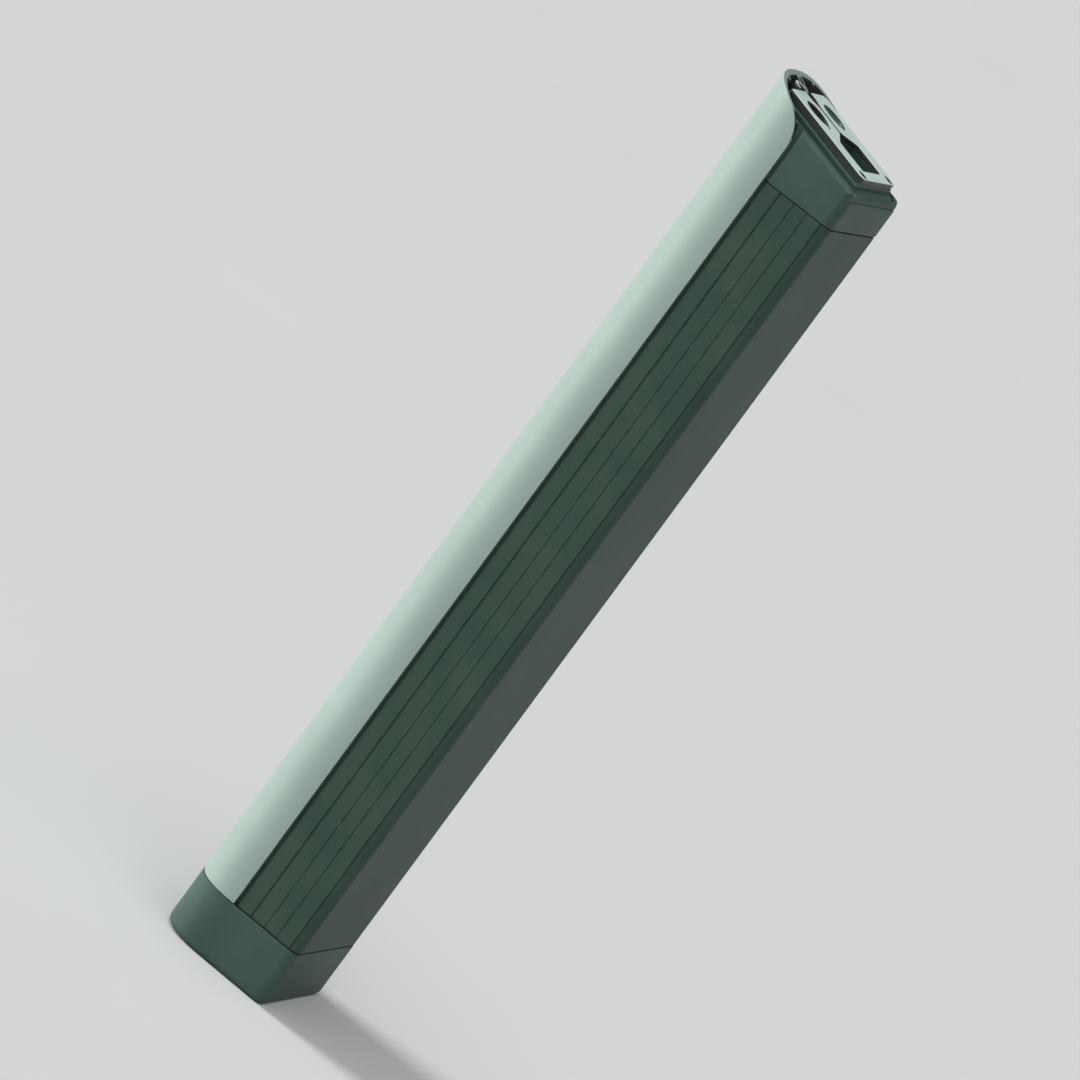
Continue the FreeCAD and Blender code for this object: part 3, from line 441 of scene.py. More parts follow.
def extruded(outlines, low, high, low_rim, high_rim, steps=3):
    """Straight wall over closed outlines: the first runs anticlockwise round the material, and the
    rest clockwise round its holes. low and high give the two ends' heights at a point (x, y).
    Each end is rounded by its rim: at the angle a the wall stands in by rim (1 - sin a) and
    rises by rim (1 - cos a), and flat triangles close the ends. The high rim is one number, or
    one for each outline."""
    angle = np.linspace(0, np.pi / 2, steps + 1)
    points, faces, start = [], [], 0
    ends = {"low": [], "high": []}
    for outline, top_rim in zip(outlines, np.broadcast_to(high_rim, len(outlines))):
        loop = outline[np.linalg.norm(outline - np.roll(outline, 1, axis=0), axis=1) > LEAST_STEP]
        rings = []
        for turn in angle:
            ring = inset(loop, low_rim * (1 - math.sin(turn)))
            rings.append(np.column_stack((ring, low(ring) + low_rim * (1 - math.cos(turn)))))
        for turn in angle[::-1]:
            ring = inset(loop, top_rim * (1 - math.sin(turn)))
            rings.append(np.column_stack((ring, high(ring) - top_rim * (1 - math.cos(turn)))))
        count = len(loop)
        faces += walls(len(rings), count, start)
        ends["low"].append((start, rings[0]))
        ends["high"].append((start + (len(rings) - 1) * count, rings[-1]))
        points += rings
        start += count * len(rings)
    for side, loops in ends.items():
        flat = [[Vector((x, y, 0.0)) for x, y, _ in ring] for _, ring in loops]
        corner = np.concatenate([first + np.arange(len(ring)) for first, ring in loops])
        place = np.concatenate([ring[:, :2] for _, ring in loops])
        triangles = np.array(tessellate_polygon(flat))
        a, b, c = (place[triangles[:, n]] for n in range(3))
        area = (b[:, 0] - a[:, 0]) * (c[:, 1] - a[:, 1]) - (b[:, 1] - a[:, 1]) * (c[:, 0] - a[:, 0])
        wrong = (area < 0) == (side == "high")
        wrong[np.abs(area) < 1e-9] = wrong.mean() > 0.5
        triangles[wrong] = triangles[wrong][:, ::-1]
        faces += corner[triangles].tolist()
    return np.concatenate(points), faces


def level(height):
    """An end that is flat at the height."""
    return lambda place: np.full(len(place), float(height))


def on_circle(x, y, radius, angle):
    """Points at the angles on a circle round (x, y)."""
    return np.column_stack((x + radius * np.cos(angle), y + radius * np.sin(angle)))


def oblong(x0, x1, y0, y1, radii, steps=8):
    """Anticlockwise rectangle whose corners are arcs: radii go with (x1, y0), (x1, y1), (x0, y1)
    and (x0, y0), and at each the point is the arc's centre plus r (cos a, sin a)."""
    arcs = []
    for number, ((x, y), r) in enumerate(zip(((x1, y0), (x1, y1), (x0, y1), (x0, y0)), radii)):
        angle = np.pi / 2 * (number - 1) + np.linspace(0, np.pi / 2, steps + 1 if r > 0 else 1)
        centre = (x + (-r if x == x1 else r), y + (r if y == y0 else -r))
        arcs.append(on_circle(*centre, r, angle))
    return np.concatenate(arcs)


pads_low, pads_high = span("foam_pads")
rows_low = [span("cell_row_%d" % row)[0][2] for row in range(1, 6)]
pad_length = pads_high[2] - pads_low[2] - (rows_low[4] - rows_low[0])
pads = []
for row_low in rows_low:
    z0 = pads_low[2] + row_low - rows_low[0]
    outline = oblong(z0, z0 + pad_length, pads_low[1], pads_high[1], (1.5,) * 4)
    pad = extruded([outline], level(pads_low[0]), level(pads_high[0]), FOAM_EDGE, FOAM_EDGE)
    pads.append((pad[0][:, (2, 1, 0)], [face[::-1] for face in pad[1]]))
foam_pads = laid("foam_pads_soft", joined(*pads), "pack", ["foam_pads"], [foam], sharp=60)

# ---- control board and wiring --------------------------------------------------------------
# A glass-fibre board with switching transistors on a finned spreader, a fuse, screw terminals
# and the balance socket hangs from standoffs in the top cap; silicone leads run down the sides.
dressed(["control_board", "switch_board"],
        finish("solder_mask", (14, 44, 34), (24, 62, 46), 0.36, grain=0.9, depth=0.03, patch=3.5,
               rubbed=(150, 140, 92), rub_width=0.3, rub_amount=0.6, dust=0.05, coat_weight=0.3))
dressed(["transistors"],
        finish("chip_epoxy", (20, 20, 21), (30, 30, 31), 0.58, grain=0.15, depth=0.008, patch=4,
               rubbed=(64, 64, 66), rub_width=0.2, rub_amount=0.3, dust=0.05))
dressed(["heat_spreader", "board_standoffs"],
        finish("sawn_aluminium", (160, 163, 162), (192, 194, 193), 0.36, metallic=1.0, grain=0.3, depth=0.004,
               patch=5, streaks=(40.0, 40.0, 1800.0), streak_depth=0.008, dust=0.05))
dressed(["fuse_holder"],
        finish("holder_black", (26, 27, 28), (38, 39, 40), 0.45, grain=0.4, depth=0.01, patch=6, dust=0.05))
dressed(["fuse"],
        finish("fuse_amber", (196, 96, 20), (226, 124, 36), 0.28, grain=0.6, depth=0.006, patch=4, dust=0.03,
               coat_weight=0.4))
dressed(["lead_terminals"],
        finish("terminal_brass", (168, 140, 78), (200, 172, 104), 0.3, metallic=1.0, grain=0.3, depth=0.004,
               patch=4, rubbed=(226, 206, 150), rub_amount=0.4, dust=0.03))
dressed(["balance_socket"],
        finish("nylon_white", (206, 204, 194), (228, 226, 218), 0.42, grain=0.4, depth=0.006, patch=5,
               dust=0.08))
dressed(["positive_lead"],
        finish("silicone_red", (150, 22, 20), (182, 34, 28), 0.55, grain=0.5, depth=0.01, patch=12,
               dust=0.15))
dressed(["negative_lead"],
        finish("silicone_black", (18, 19, 20), (32, 33, 34), 0.55, grain=0.5, depth=0.01, patch=12,
               dust=0.15))
dressed(["charge_leads", "thermistor"],
        finish("thin_wire_black", (22, 23, 24), (38, 39, 40), 0.5, grain=0.3, depth=0.006, patch=8, dust=0.1))
dressed(["button_ribbon"],
        finish("ribbon_grey", (104, 108, 110), (138, 142, 143), 0.5, grain=0.4, depth=0.004, patch=6,
               streaks=(800.0, 800.0, 15.0), streak_depth=0.02, dust=0.05))

# ---- casing --------------------------------------------------------------------------------
# One aluminium extrusion, anodised dark green: flat sides with four drawn grooves, a channel
# under each edge of the cover for its lips, and bosses in its corners for the caps' screws.
HALF_WIDTH = 35.0
COVER_WALL = 2.4
ARCH_HEIGHT = 23.2
ARCH_POWER = 2.58
UNDER_COVER_GAP = 0.3
SHADOW_GAP = 1.2
RAIL = (-7.8, -5.7, 1.6)
BELLY_CORNER = 4.0
CASING_WALL = 1.8
INNER_HALF = 32.6
INNER_NECK_HALF = 29.6
INNER_STEP_X = -0.6
GROOVES = ((4.5, 0.9, 0.7), (11.1, 0.6, 0.45), (17.1, 0.6, 0.45), (23.8, 0.9, 0.7))
PORT_XS = (3.0, 22.6)
PORT_Y = 29.6
PORT_RADIUS = 2.6
SCREW_RADIUS = 1.5
CASING_RIM = 0.25
GROOVE_TAPER = 0.1
SHOULDER_ROUND = 1.5
SHOULDER_MIDDLE = 0.44
BOSS_FOOT = 1.6
INNER_CORNER = 2.5
NECK_CORNER = 6


def arch(half_width, height, foot_x, steps):
    """Superellipse |y / half width|^p + |x / height|^p = 1 above the line where it meets the legs,
    from -y to +y, with the angle t giving y = -w cos(t)^(2/p) and x = foot - h sin(t)^(2/p)."""
    t = np.linspace(0, np.pi, steps)
    across = np.cos(t)
    y = -np.sign(across) * np.abs(across) ** (2 / ARCH_POWER) * half_width
    x = foot_x - np.abs(np.sin(t)) ** (2 / ARCH_POWER) * height
    return np.column_stack((x, y))


def arch_x(y, half_width, height, foot_x):
    """The same superellipse's x at a place y across."""
    return foot_x - height * (1 - np.abs(y / half_width) ** ARCH_POWER) ** (1 / ARCH_POWER)


def arch_y(x, half_width, height, foot_x):
    """The same superellipse's half width at a place x."""
    return half_width * (1 - np.abs((x - foot_x) / height) ** ARCH_POWER) ** (1 / ARCH_POWER)


def mirrored(half):
    """A closed outline from its half on the +y side, which starts and ends near the middle."""
    other = half[::-1] * (1, -1)
    return np.concatenate((half, other))


casing_low, casing_high = span("casing")
cover_low, cover_high = span("cover")
crown_x = cover_low[0]
spring_x = crown_x + ARCH_HEIGHT
cover_edge_x = cover_high[0]
belly_x = casing_high[0]
top_x = casing_low[0]
casing_half = casing_high[1]
neck_half = HALF_WIDTH - COVER_WALL - UNDER_COVER_GAP
neck_height = ARCH_HEIGHT - COVER_WALL - UNDER_COVER_GAP
shoulder_x = cover_edge_x + SHADOW_GAP


def side_y(x):
    """The side's place across at x: flat, and then the belly corner's arc."""
    past = max(0.0, x - belly_x + BELLY_CORNER)
    return casing_half - BELLY_CORNER + math.sqrt(BELLY_CORNER ** 2 - past ** 2)


belly_arc = oblong(0, belly_x, -casing_half, casing_half, (BELLY_CORNER,) * 4, 10)[11:22]
belly_arc = belly_arc[belly_arc[:, 0] > GROOVES[-1][0] + GROOVES[-1][1]]
side = []
for x, width, depth in GROOVES[::-1]:
    side += [(x + width / 2, side_y(x + width / 2)), (x + width / 2 - GROOVE_TAPER, casing_half - depth),
             (x - width / 2 + GROOVE_TAPER, casing_half - depth), (x - width / 2, casing_half)]
neck_xs = np.linspace(RAIL[0], top_x, 14)
neck = np.column_stack((neck_xs, arch_y(neck_xs, neck_half, neck_height, spring_x)))
rail_y = HALF_WIDTH - COVER_WALL - RAIL[2]
shoulder = [(shoulder_x + SHOULDER_ROUND, casing_half),
            (shoulder_x + SHOULDER_MIDDLE, casing_half - SHOULDER_MIDDLE),
            (shoulder_x, casing_half - SHOULDER_ROUND), (shoulder_x, neck_half), (RAIL[1], neck_half),
            (RAIL[1], rail_y), (RAIL[0], rail_y)]
outer_half = np.concatenate((belly_arc, side, shoulder, neck))
outer = mirrored(outer_half)
outer = np.concatenate((outer[len(outer_half):], outer[:len(outer_half)]))

boss_turn = np.linspace(0, 1, 9)
inner_half = [(belly_x - CASING_WALL - INNER_CORNER, INNER_HALF)]
boss_half_angle = math.acos(BOSS_FOOT / PORT_RADIUS)
for x in PORT_XS[::-1]:
    turn = boss_half_angle - (np.pi + 2 * boss_half_angle) * boss_turn
    inner_half.append((x + BOSS_FOOT, INNER_HALF))
    inner_half += [(x + PORT_RADIUS * math.cos(a), PORT_Y + PORT_RADIUS * math.sin(a)) for a in turn]
    inner_half.append((x - BOSS_FOOT, INNER_HALF))
inner_half += [(INNER_STEP_X, INNER_HALF), (INNER_STEP_X, INNER_NECK_HALF)]
neck_radii = (0, 0, NECK_CORNER, NECK_CORNER)
neck_corner = oblong(top_x + CASING_WALL, 0, -INNER_NECK_HALF, INNER_NECK_HALF, neck_radii)[2:11]
inner_half = np.array(inner_half + neck_corner.tolist())
belly_corner = oblong(0, belly_x - CASING_WALL, -INNER_HALF, INNER_HALF, (INNER_CORNER,) * 4, 6)[7:14]
inner_half = np.concatenate((belly_corner[:-1], inner_half))
inner = mirrored(inner_half)[::-1]
port_turn = -np.arange(24) * (2 * np.pi / 24)
port_places = [(x, y) for x in PORT_XS for y in (-PORT_Y, PORT_Y)]
ports = [on_circle(x, y, SCREW_RADIUS, port_turn) for x, y in port_places]

anodised = finish("anodised_casing", (46, 67, 57), (53, 75, 64), 0.52, metallic=0.1, grain=0.22, depth=0.006,
                  patch=45, streaks=(1500.0, 1500.0, 6.0), streak_depth=0.004, rubbed=(122, 138, 130),
                  rub_width=0.4, rub_amount=0.35, dust=0.08, uneven=0.14, specular_ior_level=0.25)
casing = extruded([outer, inner, *ports], level(casing_low[2]), level(casing_high[2]), CASING_RIM, CASING_RIM)
laid("casing_extrusion", casing, "pack", ["casing"], [anodised])

# ---- caps and their gaskets ----------------------------------------------------------------
# Two glass-filled nylon mouldings plug into the casing's ends over thin rubber gaskets. The top
# one steps down round its raised neck, and the bottom one takes the whole outline of the pack.
cap_nylon = finish("cap_nylon", (50, 73, 64), (57, 82, 72), 0.52, grain=0.35, depth=0.012, patch=30,
                   rubbed=(128, 146, 136), rub_width=0.5, rub_amount=0.35, dust=0.08, specular_ior_level=0.3)
rubber = finish("gasket_rubber", (16, 17, 17), (26, 27, 27), 0.72, grain=0.3, depth=0.01, patch=10, dust=0.1)
CAP_EDGE = 0.22


def softened(name, node, body, material, width):
    """A copy of a moulding's CAD mesh with its loose triangles merged and its flat faces joined,
    and a bevel on every edge of more than 30 degrees, so that its edges catch the light."""
    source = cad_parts[node].data
    corners = np.zeros(len(source.vertices) * 3)
    source.vertices.foreach_get("co", corners)
    used = np.zeros(len(source.loops), np.int32)
    source.loops.foreach_get("vertex_index", used)
    mesh = bpy.data.meshes.new(name)
    places, same = np.unique(np.round(corners.reshape(-1, 3), 7), axis=0, return_inverse=True)
    triangles = same.ravel()[used].reshape(-1, 3)
    whole = (triangles[:, 0] != triangles[:, 1]) & (triangles[:, 1] != triangles[:, 2]) & (
        triangles[:, 0] != triangles[:, 2])
    mesh.from_pydata(places, [], triangles[whole].tolist())
    work = bmesh.new()
    work.from_mesh(mesh)
    bmesh.ops.dissolve_limit(work, angle_limit=math.radians(0.6), verts=work.verts, edges=work.edges)
    work.to_mesh(mesh)
    work.free()
    mesh.shade_smooth()
    mesh.set_sharp_from_angle(angle=math.radians(30))
    mesh.materials.append(material)
    made = bpy.data.objects.new(name, mesh)
    bpy.context.scene.collection.objects.link(made)
    bevel = made.modifiers.new("soft_edges", "BEVEL")
    bevel.width = width / 1000
    bevel.segments = 2
    bevel.limit_method = "ANGLE"
    bevel.angle_limit = math.radians(30)
    bevel.use_clamp_overlap = True
    bevel.harden_normals = True
    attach(made, body)
    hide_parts(node)
    return made


softened("top_cap_moulding", "top_cap", "pack", cap_nylon, CAP_EDGE)
softened("bottom_cap_moulding", "bottom_cap", "pack", cap_nylon, CAP_EDGE)
dressed(["top_gasket", "bottom_gasket"], rubber)

# ---- screws --------------------------------------------------------------------------------
# Blackened steel machine screws. The four in each cap, the one up the cover's rib and the board's
# small ones have hexagon sockets; the end plate's have crossed slots, the connector's plain heads.
SCREW_TURNS = 48
SOCKET_LEAD = 0.12
DRILL_TIP = 0.5
black_steel = finish("blackened_steel", (34, 36, 36), (52, 54, 54), 0.34, metallic=0.85, grain=0.2,
                     depth=0.004,
                     patch=4, rubbed=(140, 144, 142), rub_width=0.25, rub_amount=0.5, dust=0.08)


def socket_screw(shank, head, socket, length, head_height, deep):
    """A turned screw with its tip at height 0. Over the socket's depth the ring's radius follows a
    hexagon: the flat's distance divided by the cosine of the angle from the middle of the flat."""
    top = length + head_height
    solid = np.array([(0, 0), (shank - 0.3, 0), (shank, 0.6), (shank, length), (head, length),
                      (head, top - 0.5), (head - 0.5, top), (socket + 0.25, top)])
    rounded = eased(solid, 0.15, closed=False)
    points, faces = turned(np.concatenate((rounded, [(socket, top), (0, top)])), SCREW_TURNS)
    rings = len(points[:-2]) // SCREW_TURNS
    keep = points[:-2].reshape(rings, SCREW_TURNS, 3)
    angle = np.arange(SCREW_TURNS) * (2 * np.pi / SCREW_TURNS)
    flat = np.abs((angle + np.pi / 6) % (np.pi / 3) - np.pi / 6)
    hexagon = socket * math.cos(np.pi / 6) / np.cos(flat)
    wall = np.column_stack((hexagon * np.cos(angle), hexagon * np.sin(angle),
                            np.full(SCREW_TURNS, top - SOCKET_LEAD)))
    floor_ring = wall - (0, 0, deep)
    ends = (points[-2:-1], [[0, 0, top - deep - DRILL_TIP]])
    stack = np.concatenate((keep.reshape(-1, 3), wall, floor_ring, *ends))
    tip = fan(0, SCREW_TURNS, len(stack) - 2, False)
    floor = fan((rings + 1) * SCREW_TURNS, SCREW_TURNS, len(stack) - 1, True)
    return stack, walls(rings + 2, SCREW_TURNS) + tip + floor


def screws_along_z(node, name, places, sizes, heads_up):
    """The same screw at each (x, y), filling its CAD node's height, with its heads up or down."""
    low, high = span(node)
    shank, head, socket, head_height, deep = sizes
    one = socket_screw(shank, head, socket, high[2] - low[2] - head_height, head_height, deep)
    if not heads_up:
        one = flipped(one, 2, (high[2] - low[2]) / 2)
    several = joined(*[moved(one, (x, y, low[2])) for x, y in places])
    return laid(name, several, "pack", [node], [black_steel])


CAP_SCREW = (1.5, 2.8, 1.4, 2.2, 1.3)
screws_along_z("top_cap_screws", "top_cap_bolts", port_places, CAP_SCREW, True)
screws_along_z("bottom_cap_screws", "bottom_cap_bolts", port_places, CAP_SCREW, False)
cover_screw_low, cover_screw_high = span("cover_screw")
screws_along_z("cover_screw", "cover_bolt", [((cover_screw_low[0] + cover_screw_high[0]) / 2, 0.0)],
               (1.2, 2.5, 1.15, 1.8, 1.2), False)
BOARD_HEAD = 2.0
board_low, board_high = span("board_screws")
board_places = [(x, y) for x in (board_low[0] + BOARD_HEAD, board_high[0] - BOARD_HEAD)
                for y in (board_low[1] + BOARD_HEAD, board_high[1] - BOARD_HEAD)]
screws_along_z("board_screws", "board_bolts", board_places, (1.0, BOARD_HEAD, 0.9, 0.9, 0.5), False)
dressed(["end_plate_screws", "connector_screws"], black_steel)

# ---- end plate and latch pin ---------------------------------------------------------------
# A cast plate closes the top cap's neck: its face is blasted and sprayed pale. The walls of its edges and
# openings, except the end on the cover's side, are coloured near black: painted shade, for the dark inside
# the holes, slot and pocket and under the plate's rim. A slot runs in from the cover's side between two round
# holes to the pocket where the frame's lock bolt catches a steel pin; a hook stands at the slot's mouth.
PLATE_ANGLE = 13.7
PLATE_Z = 392.55
PLATE_U = (-14.6, 29.4)
PLATE_HALF = 24.0
PLATE_CORNER = 3.2
PLATE_THICK = 2.2
PLATE_BEVEL = 0.22
HOLE_U = -3.14
HOLE_Y = 11.8
HOLE_RADIUS = 6.2
KEYWAY_RADIUS = 1.5
SLOT_HALVES = ((-14.6, 4.15), (-10.5, 3.8), (-6.4, 1.5), (5.6, 1.5), (10.8, 13.3), (24.6, 13.3))
SLOT_CORNER = 1.2
PLATE_SCREW = (26.9, 18.6)
SCREW_SINK = 2.2
SINK_RIM = 0.03
EDGE_STEEPNESS = 0.3
PALE_END = 0.4
HOOK = (4.2, 3.1, -10.4, 1.2)
PIN_PLACE = (20.0, -6.5)
PIN_RADIUS = 2.0
PIN_HALF = 17.0


def on_plate(surface):
    """Turns a surface from the plate's own frame (along the slope, across, above the face) into
    the pack's: x = spring + u cos a + w sin a, and z = plate height - u sin a + w cos a."""
    turn = math.radians(PLATE_ANGLE)
    u, y, w = surface[0].T
    x = spring_x + u * math.cos(turn) + w * math.sin(turn)
    z = PLATE_Z - u * math.sin(turn) + w * math.cos(turn)
    return np.column_stack((x, y, z)), surface[1]


def ring_loop(x, y, radius, steps=64):
    """Points clockwise round a circle, so that it bounds a hole."""
    return on_circle(x, y, radius, np.arange(steps) * (-2 * np.pi / steps))


def slot_corners():
    """The slot's far side from its mouth to the pocket's end, each corner cut to a soft turn."""
    half = np.array(SLOT_HALVES)
    way = np.concatenate((half, half[::-1] * (1, -1)))
    soft = [way[:1]]
    for number in range(1, len(way) - 1):
        corner, before, after = way[number], way[number - 1], way[number + 1]
        first = corner + (before - corner) / np.linalg.norm(before - corner) * SLOT_CORNER
        last = corner + (after - corner) / np.linalg.norm(after - corner) * SLOT_CORNER
        share = np.linspace(0, 1, 6)[:, None]
        soft.append((1 - share) ** 2 * first + 2 * share * (1 - share) * corner + share ** 2 * last)
    return np.concatenate(soft + [way[-1:]])


plate_body = oblong(PLATE_U[0], PLATE_U[1], -PLATE_HALF, PLATE_HALF, (PLATE_CORNER,) * 4)
last_corner = len(plate_body) // 4
plate_outline = np.concatenate((plate_body[:-last_corner], slot_corners(), plate_body[-last_corner:]))
keyway_u = HOLE_U + HOLE_RADIUS + 0.3
key_half = math.acos((HOLE_RADIUS ** 2 + (keyway_u - HOLE_U) ** 2 - KEYWAY_RADIUS ** 2)
                     / (2 * HOLE_RADIUS * (keyway_u - HOLE_U)))
key_point = np.array((HOLE_RADIUS * math.cos(key_half), HOLE_RADIUS * math.sin(key_half)))
key_turn = math.atan2(key_point[1], key_point[0] - (keyway_u - HOLE_U))
round_part = np.linspace(2 * np.pi - key_half, key_half, 60)[:-1]
key_part = np.linspace(key_turn, -key_turn, 16)[:-1]
socket_hole = np.concatenate((on_circle(HOLE_U, -HOLE_Y, HOLE_RADIUS, round_part),
                              on_circle(keyway_u, -HOLE_Y, KEYWAY_RADIUS, key_part)))
plate_holes = [socket_hole, ring_loop(HOLE_U, HOLE_Y, HOLE_RADIUS)]
plate_holes += [ring_loop(PLATE_SCREW[0], y, SCREW_SINK, 32) for y in (-PLATE_SCREW[1], PLATE_SCREW[1])]
plate_rims = [PLATE_BEVEL] * 3 + [SINK_RIM] * 2
plate = extruded([plate_outline, *plate_holes], level(-PLATE_THICK), level(0.0), 0.1, plate_rims, 4)

hook_turn = np.linspace(np.pi / 2, 3 * np.pi / 2, 24)
hook_arc = np.column_stack((np.cos(hook_turn), np.sin(hook_turn)))
hook_centre = np.array((PLATE_U[0] + 0.2, HOOK[2]))
hook_outline = np.concatenate((hook_centre + hook_arc * HOOK[0], hook_centre + hook_arc[::-1] * HOOK[1]))
hook = extruded([hook_outline], level(-PLATE_THICK), level(HOOK[3]), 0.1, 0.3)

blasted = finish("blasted_plate", (198, 218, 210), (210, 229, 222), 0.44, metallic=0.15, grain=0.18,
                 depth=0.008,
                 patch=16, rubbed=(226, 234, 230), rub_width=0.3, rub_amount=0.4, dust=0.10, uneven=0.1)
# painted shade: this near-black finish on the plate's walls stands in for the shade in its openings and under
# its edges
plate_walls_painted_shade = finish("plate_walls_painted_shade", (30, 39, 35), (38, 49, 44), 0.5, grain=0.2, depth=0.006, patch=8,
                   rubbed=(110, 122, 116), rub_width=0.2, rub_amount=0.3, dust=0.12)
end_plate = laid("end_plate_blasted", on_plate(joined(plate, hook)), "pack", ["end_plate"],
                 [blasted, plate_walls_painted_shade])
tilt = math.radians(PLATE_ANGLE)
plate_normal = (math.sin(tilt), 0.0, math.cos(tilt))
upward = per_face(end_plate, "normal") @ plate_normal
from_spring = per_face(end_plate, "center") * 1000 - (spring_x, 0.0, PLATE_Z)
slope_place = from_spring @ (math.cos(tilt), 0.0, -math.sin(tilt))
rim_of_hook = np.arange(len(upward)) >= len(plate[1])
# the walls that take the painted shade: all but the end on the cover's side, and the hook's sides
painted_shade_walls = (np.abs(upward) < EDGE_STEEPNESS) & ((slope_place > PLATE_U[0] + PALE_END) | rim_of_hook)
second_finish(end_plate, painted_shade_walls)

pin_profile = np.array([(0, -PIN_HALF), (PIN_RADIUS, -PIN_HALF), (PIN_RADIUS, PIN_HALF), (0, PIN_HALF)])
pin = turned(eased(pin_profile, 0.35, closed=False), 40)
pin = (pin[0][:, (1, 2, 0)] + (PIN_PLACE[0], 0, PIN_PLACE[1]), pin[1])
ground_steel = finish("ground_pin", (150, 154, 152), (184, 188, 186), 0.26, metallic=1.0, grain=0.2,
                      depth=0.003, patch=5, streaks=(120.0, 2400.0, 120.0), streak_depth=0.003, dust=0.06)
laid("latch_pin_ground", on_plate(pin), "pack", ["latch_pin"], [ground_steel])

# ---- charging socket -----------------------------------------------------------------------
# A black moulded barrel behind the near hole, with one centre pin and a sprung contact leaf in
# its wall. A small blind hole beside it keys the plug.
socket_black = finish("socket_black", (40, 46, 43), (54, 61, 57), 0.42, grain=0.25, depth=0.008, patch=6,
                      rubbed=(104, 114, 108), rub_width=0.3, rub_amount=0.35, dust=0.15)
softened("charge_socket_barrel", "charge_socket", "pack", socket_black, 0.12)
plated = finish("plated_contact", (196, 178, 120), (222, 206, 150), 0.24, metallic=1.0, grain=0.2,
                depth=0.002, patch=3, dust=0.05)
CHARGE_PIN_RADIUS, CHARGE_PIN_FOOT, CHARGE_PIN_TOP = 1.05, -12.0, -3.9
centre_pin = np.array([
    (0, CHARGE_PIN_FOOT), (CHARGE_PIN_RADIUS, CHARGE_PIN_FOOT), (CHARGE_PIN_RADIUS, CHARGE_PIN_TOP - 0.6),
    (CHARGE_PIN_RADIUS - 0.5, CHARGE_PIN_TOP), (0, CHARGE_PIN_TOP)])
centre_pin = moved(turned(eased(centre_pin, 0.15, closed=False), 32), (HOLE_U, -HOLE_Y, 0))
laid("charge_pin_plated", on_plate(centre_pin), "pack", ["charge_pin"], [plated])
dressed(["charge_contact"], plated)

# ---- power button --------------------------------------------------------------------------
# A pressed-in bezel holds a frosted light ring, and inside that a dished rubber-coated button
# slides down on a coil spring to a sealed switch on its own small round board.
BEZEL_IN, BEZEL_OUT, BEZEL_TOP, BEZEL_FOOT = 5.0, 6.1, -0.5, -5.2
RIM_OUT, RIM_TOP, RIM_FOOT = 7.4, -2.2, -4.2
LIGHT_IN, LIGHT_TOP = 3.95, -1.0
BUTTON_RADIUS, BUTTON_TOP = 3.87, -0.8
DISH_RADIUS, DISH_DEPTH = 16.0, 0.35
FLANGE_OUT, FLANGE_TOP, FLANGE_FOOT = 4.6, -5.4, -6.2
STEM_RADIUS, STEM_FOOT = 1.6, -7.2
PLUNGER_RADIUS, PLUNGER_FOOT = 1.62, -10.2
SWITCH_OUT, SWITCH_IN, SWITCH_FOOT, SWITCH_TOP, SWITCH_FLOOR = 3.1, 1.7, -12.0, -8.6, -11.4


def at_button(profile, turns=96, closed=False):
    """A turned piece on the button's axis, in the pack's frame."""
    return on_plate(moved(turned(profile, turns, closed), (HOLE_U, HOLE_Y, 0)))


bezel_profile = np.array([
    (BEZEL_IN, BEZEL_FOOT), (BEZEL_OUT, BEZEL_FOOT), (BEZEL_OUT, RIM_FOOT), (RIM_OUT, RIM_FOOT),
    (RIM_OUT, RIM_TOP), (BEZEL_OUT, RIM_TOP), (BEZEL_OUT, BEZEL_TOP), (BEZEL_IN, BEZEL_TOP)])
bezel_grey = finish("bezel_grey", (66, 82, 75), (78, 95, 87), 0.36, grain=0.25, depth=0.006, patch=6,
                    rubbed=(140, 154, 147), rub_width=0.3, rub_amount=0.4, dust=0.10)
laid("button_bezel_ring", at_button(eased(bezel_profile, 0.28), closed=True), "pack", ["button_bezel"],
     [bezel_grey])

ring_profile = np.array([(LIGHT_IN, BEZEL_FOOT), (BEZEL_IN, BEZEL_FOOT), (BEZEL_IN, LIGHT_TOP),
                         (LIGHT_IN, LIGHT_TOP)])
frosted = finish("frosted_ring", (104, 118, 112), (120, 134, 127), 0.32, grain=0.2, depth=0.004, patch=5,
                 dust=0.06, subsurface_weight=0.25, subsurface_scale=0.001, ior=1.58)
laid("light_ring_frosted", at_button(eased(ring_profile, 0.2), closed=True), "pack", ["light_ring"],
     [frosted])

dish_radii = np.linspace(BUTTON_RADIUS - 0.75, 0, 10)
dish = np.column_stack((dish_radii, BUTTON_TOP - DISH_DEPTH + dish_radii ** 2 / (2 * DISH_RADIUS)))
button_body = np.array([
    (0, STEM_FOOT), (STEM_RADIUS, STEM_FOOT), (STEM_RADIUS, FLANGE_FOOT), (FLANGE_OUT, FLANGE_FOOT),
    (FLANGE_OUT, FLANGE_TOP), (BUTTON_RADIUS, FLANGE_TOP), (BUTTON_RADIUS, BUTTON_TOP),
    (BUTTON_RADIUS - 0.55, BUTTON_TOP), (BUTTON_RADIUS - 0.7, dish[0, 1])])
button_profile = np.concatenate((eased(button_body, 0.22, closed=False), dish))
soft_touch = finish("soft_touch_rubber", (58, 74, 67), (70, 86, 79), 0.62, grain=0.15, depth=0.006, patch=4,
                    rubbed=(110, 124, 117), rub_width=0.3, rub_amount=0.3, dust=0.12)
laid("power_button_cap", at_button(button_profile), "button", ["power_button"], [soft_touch])

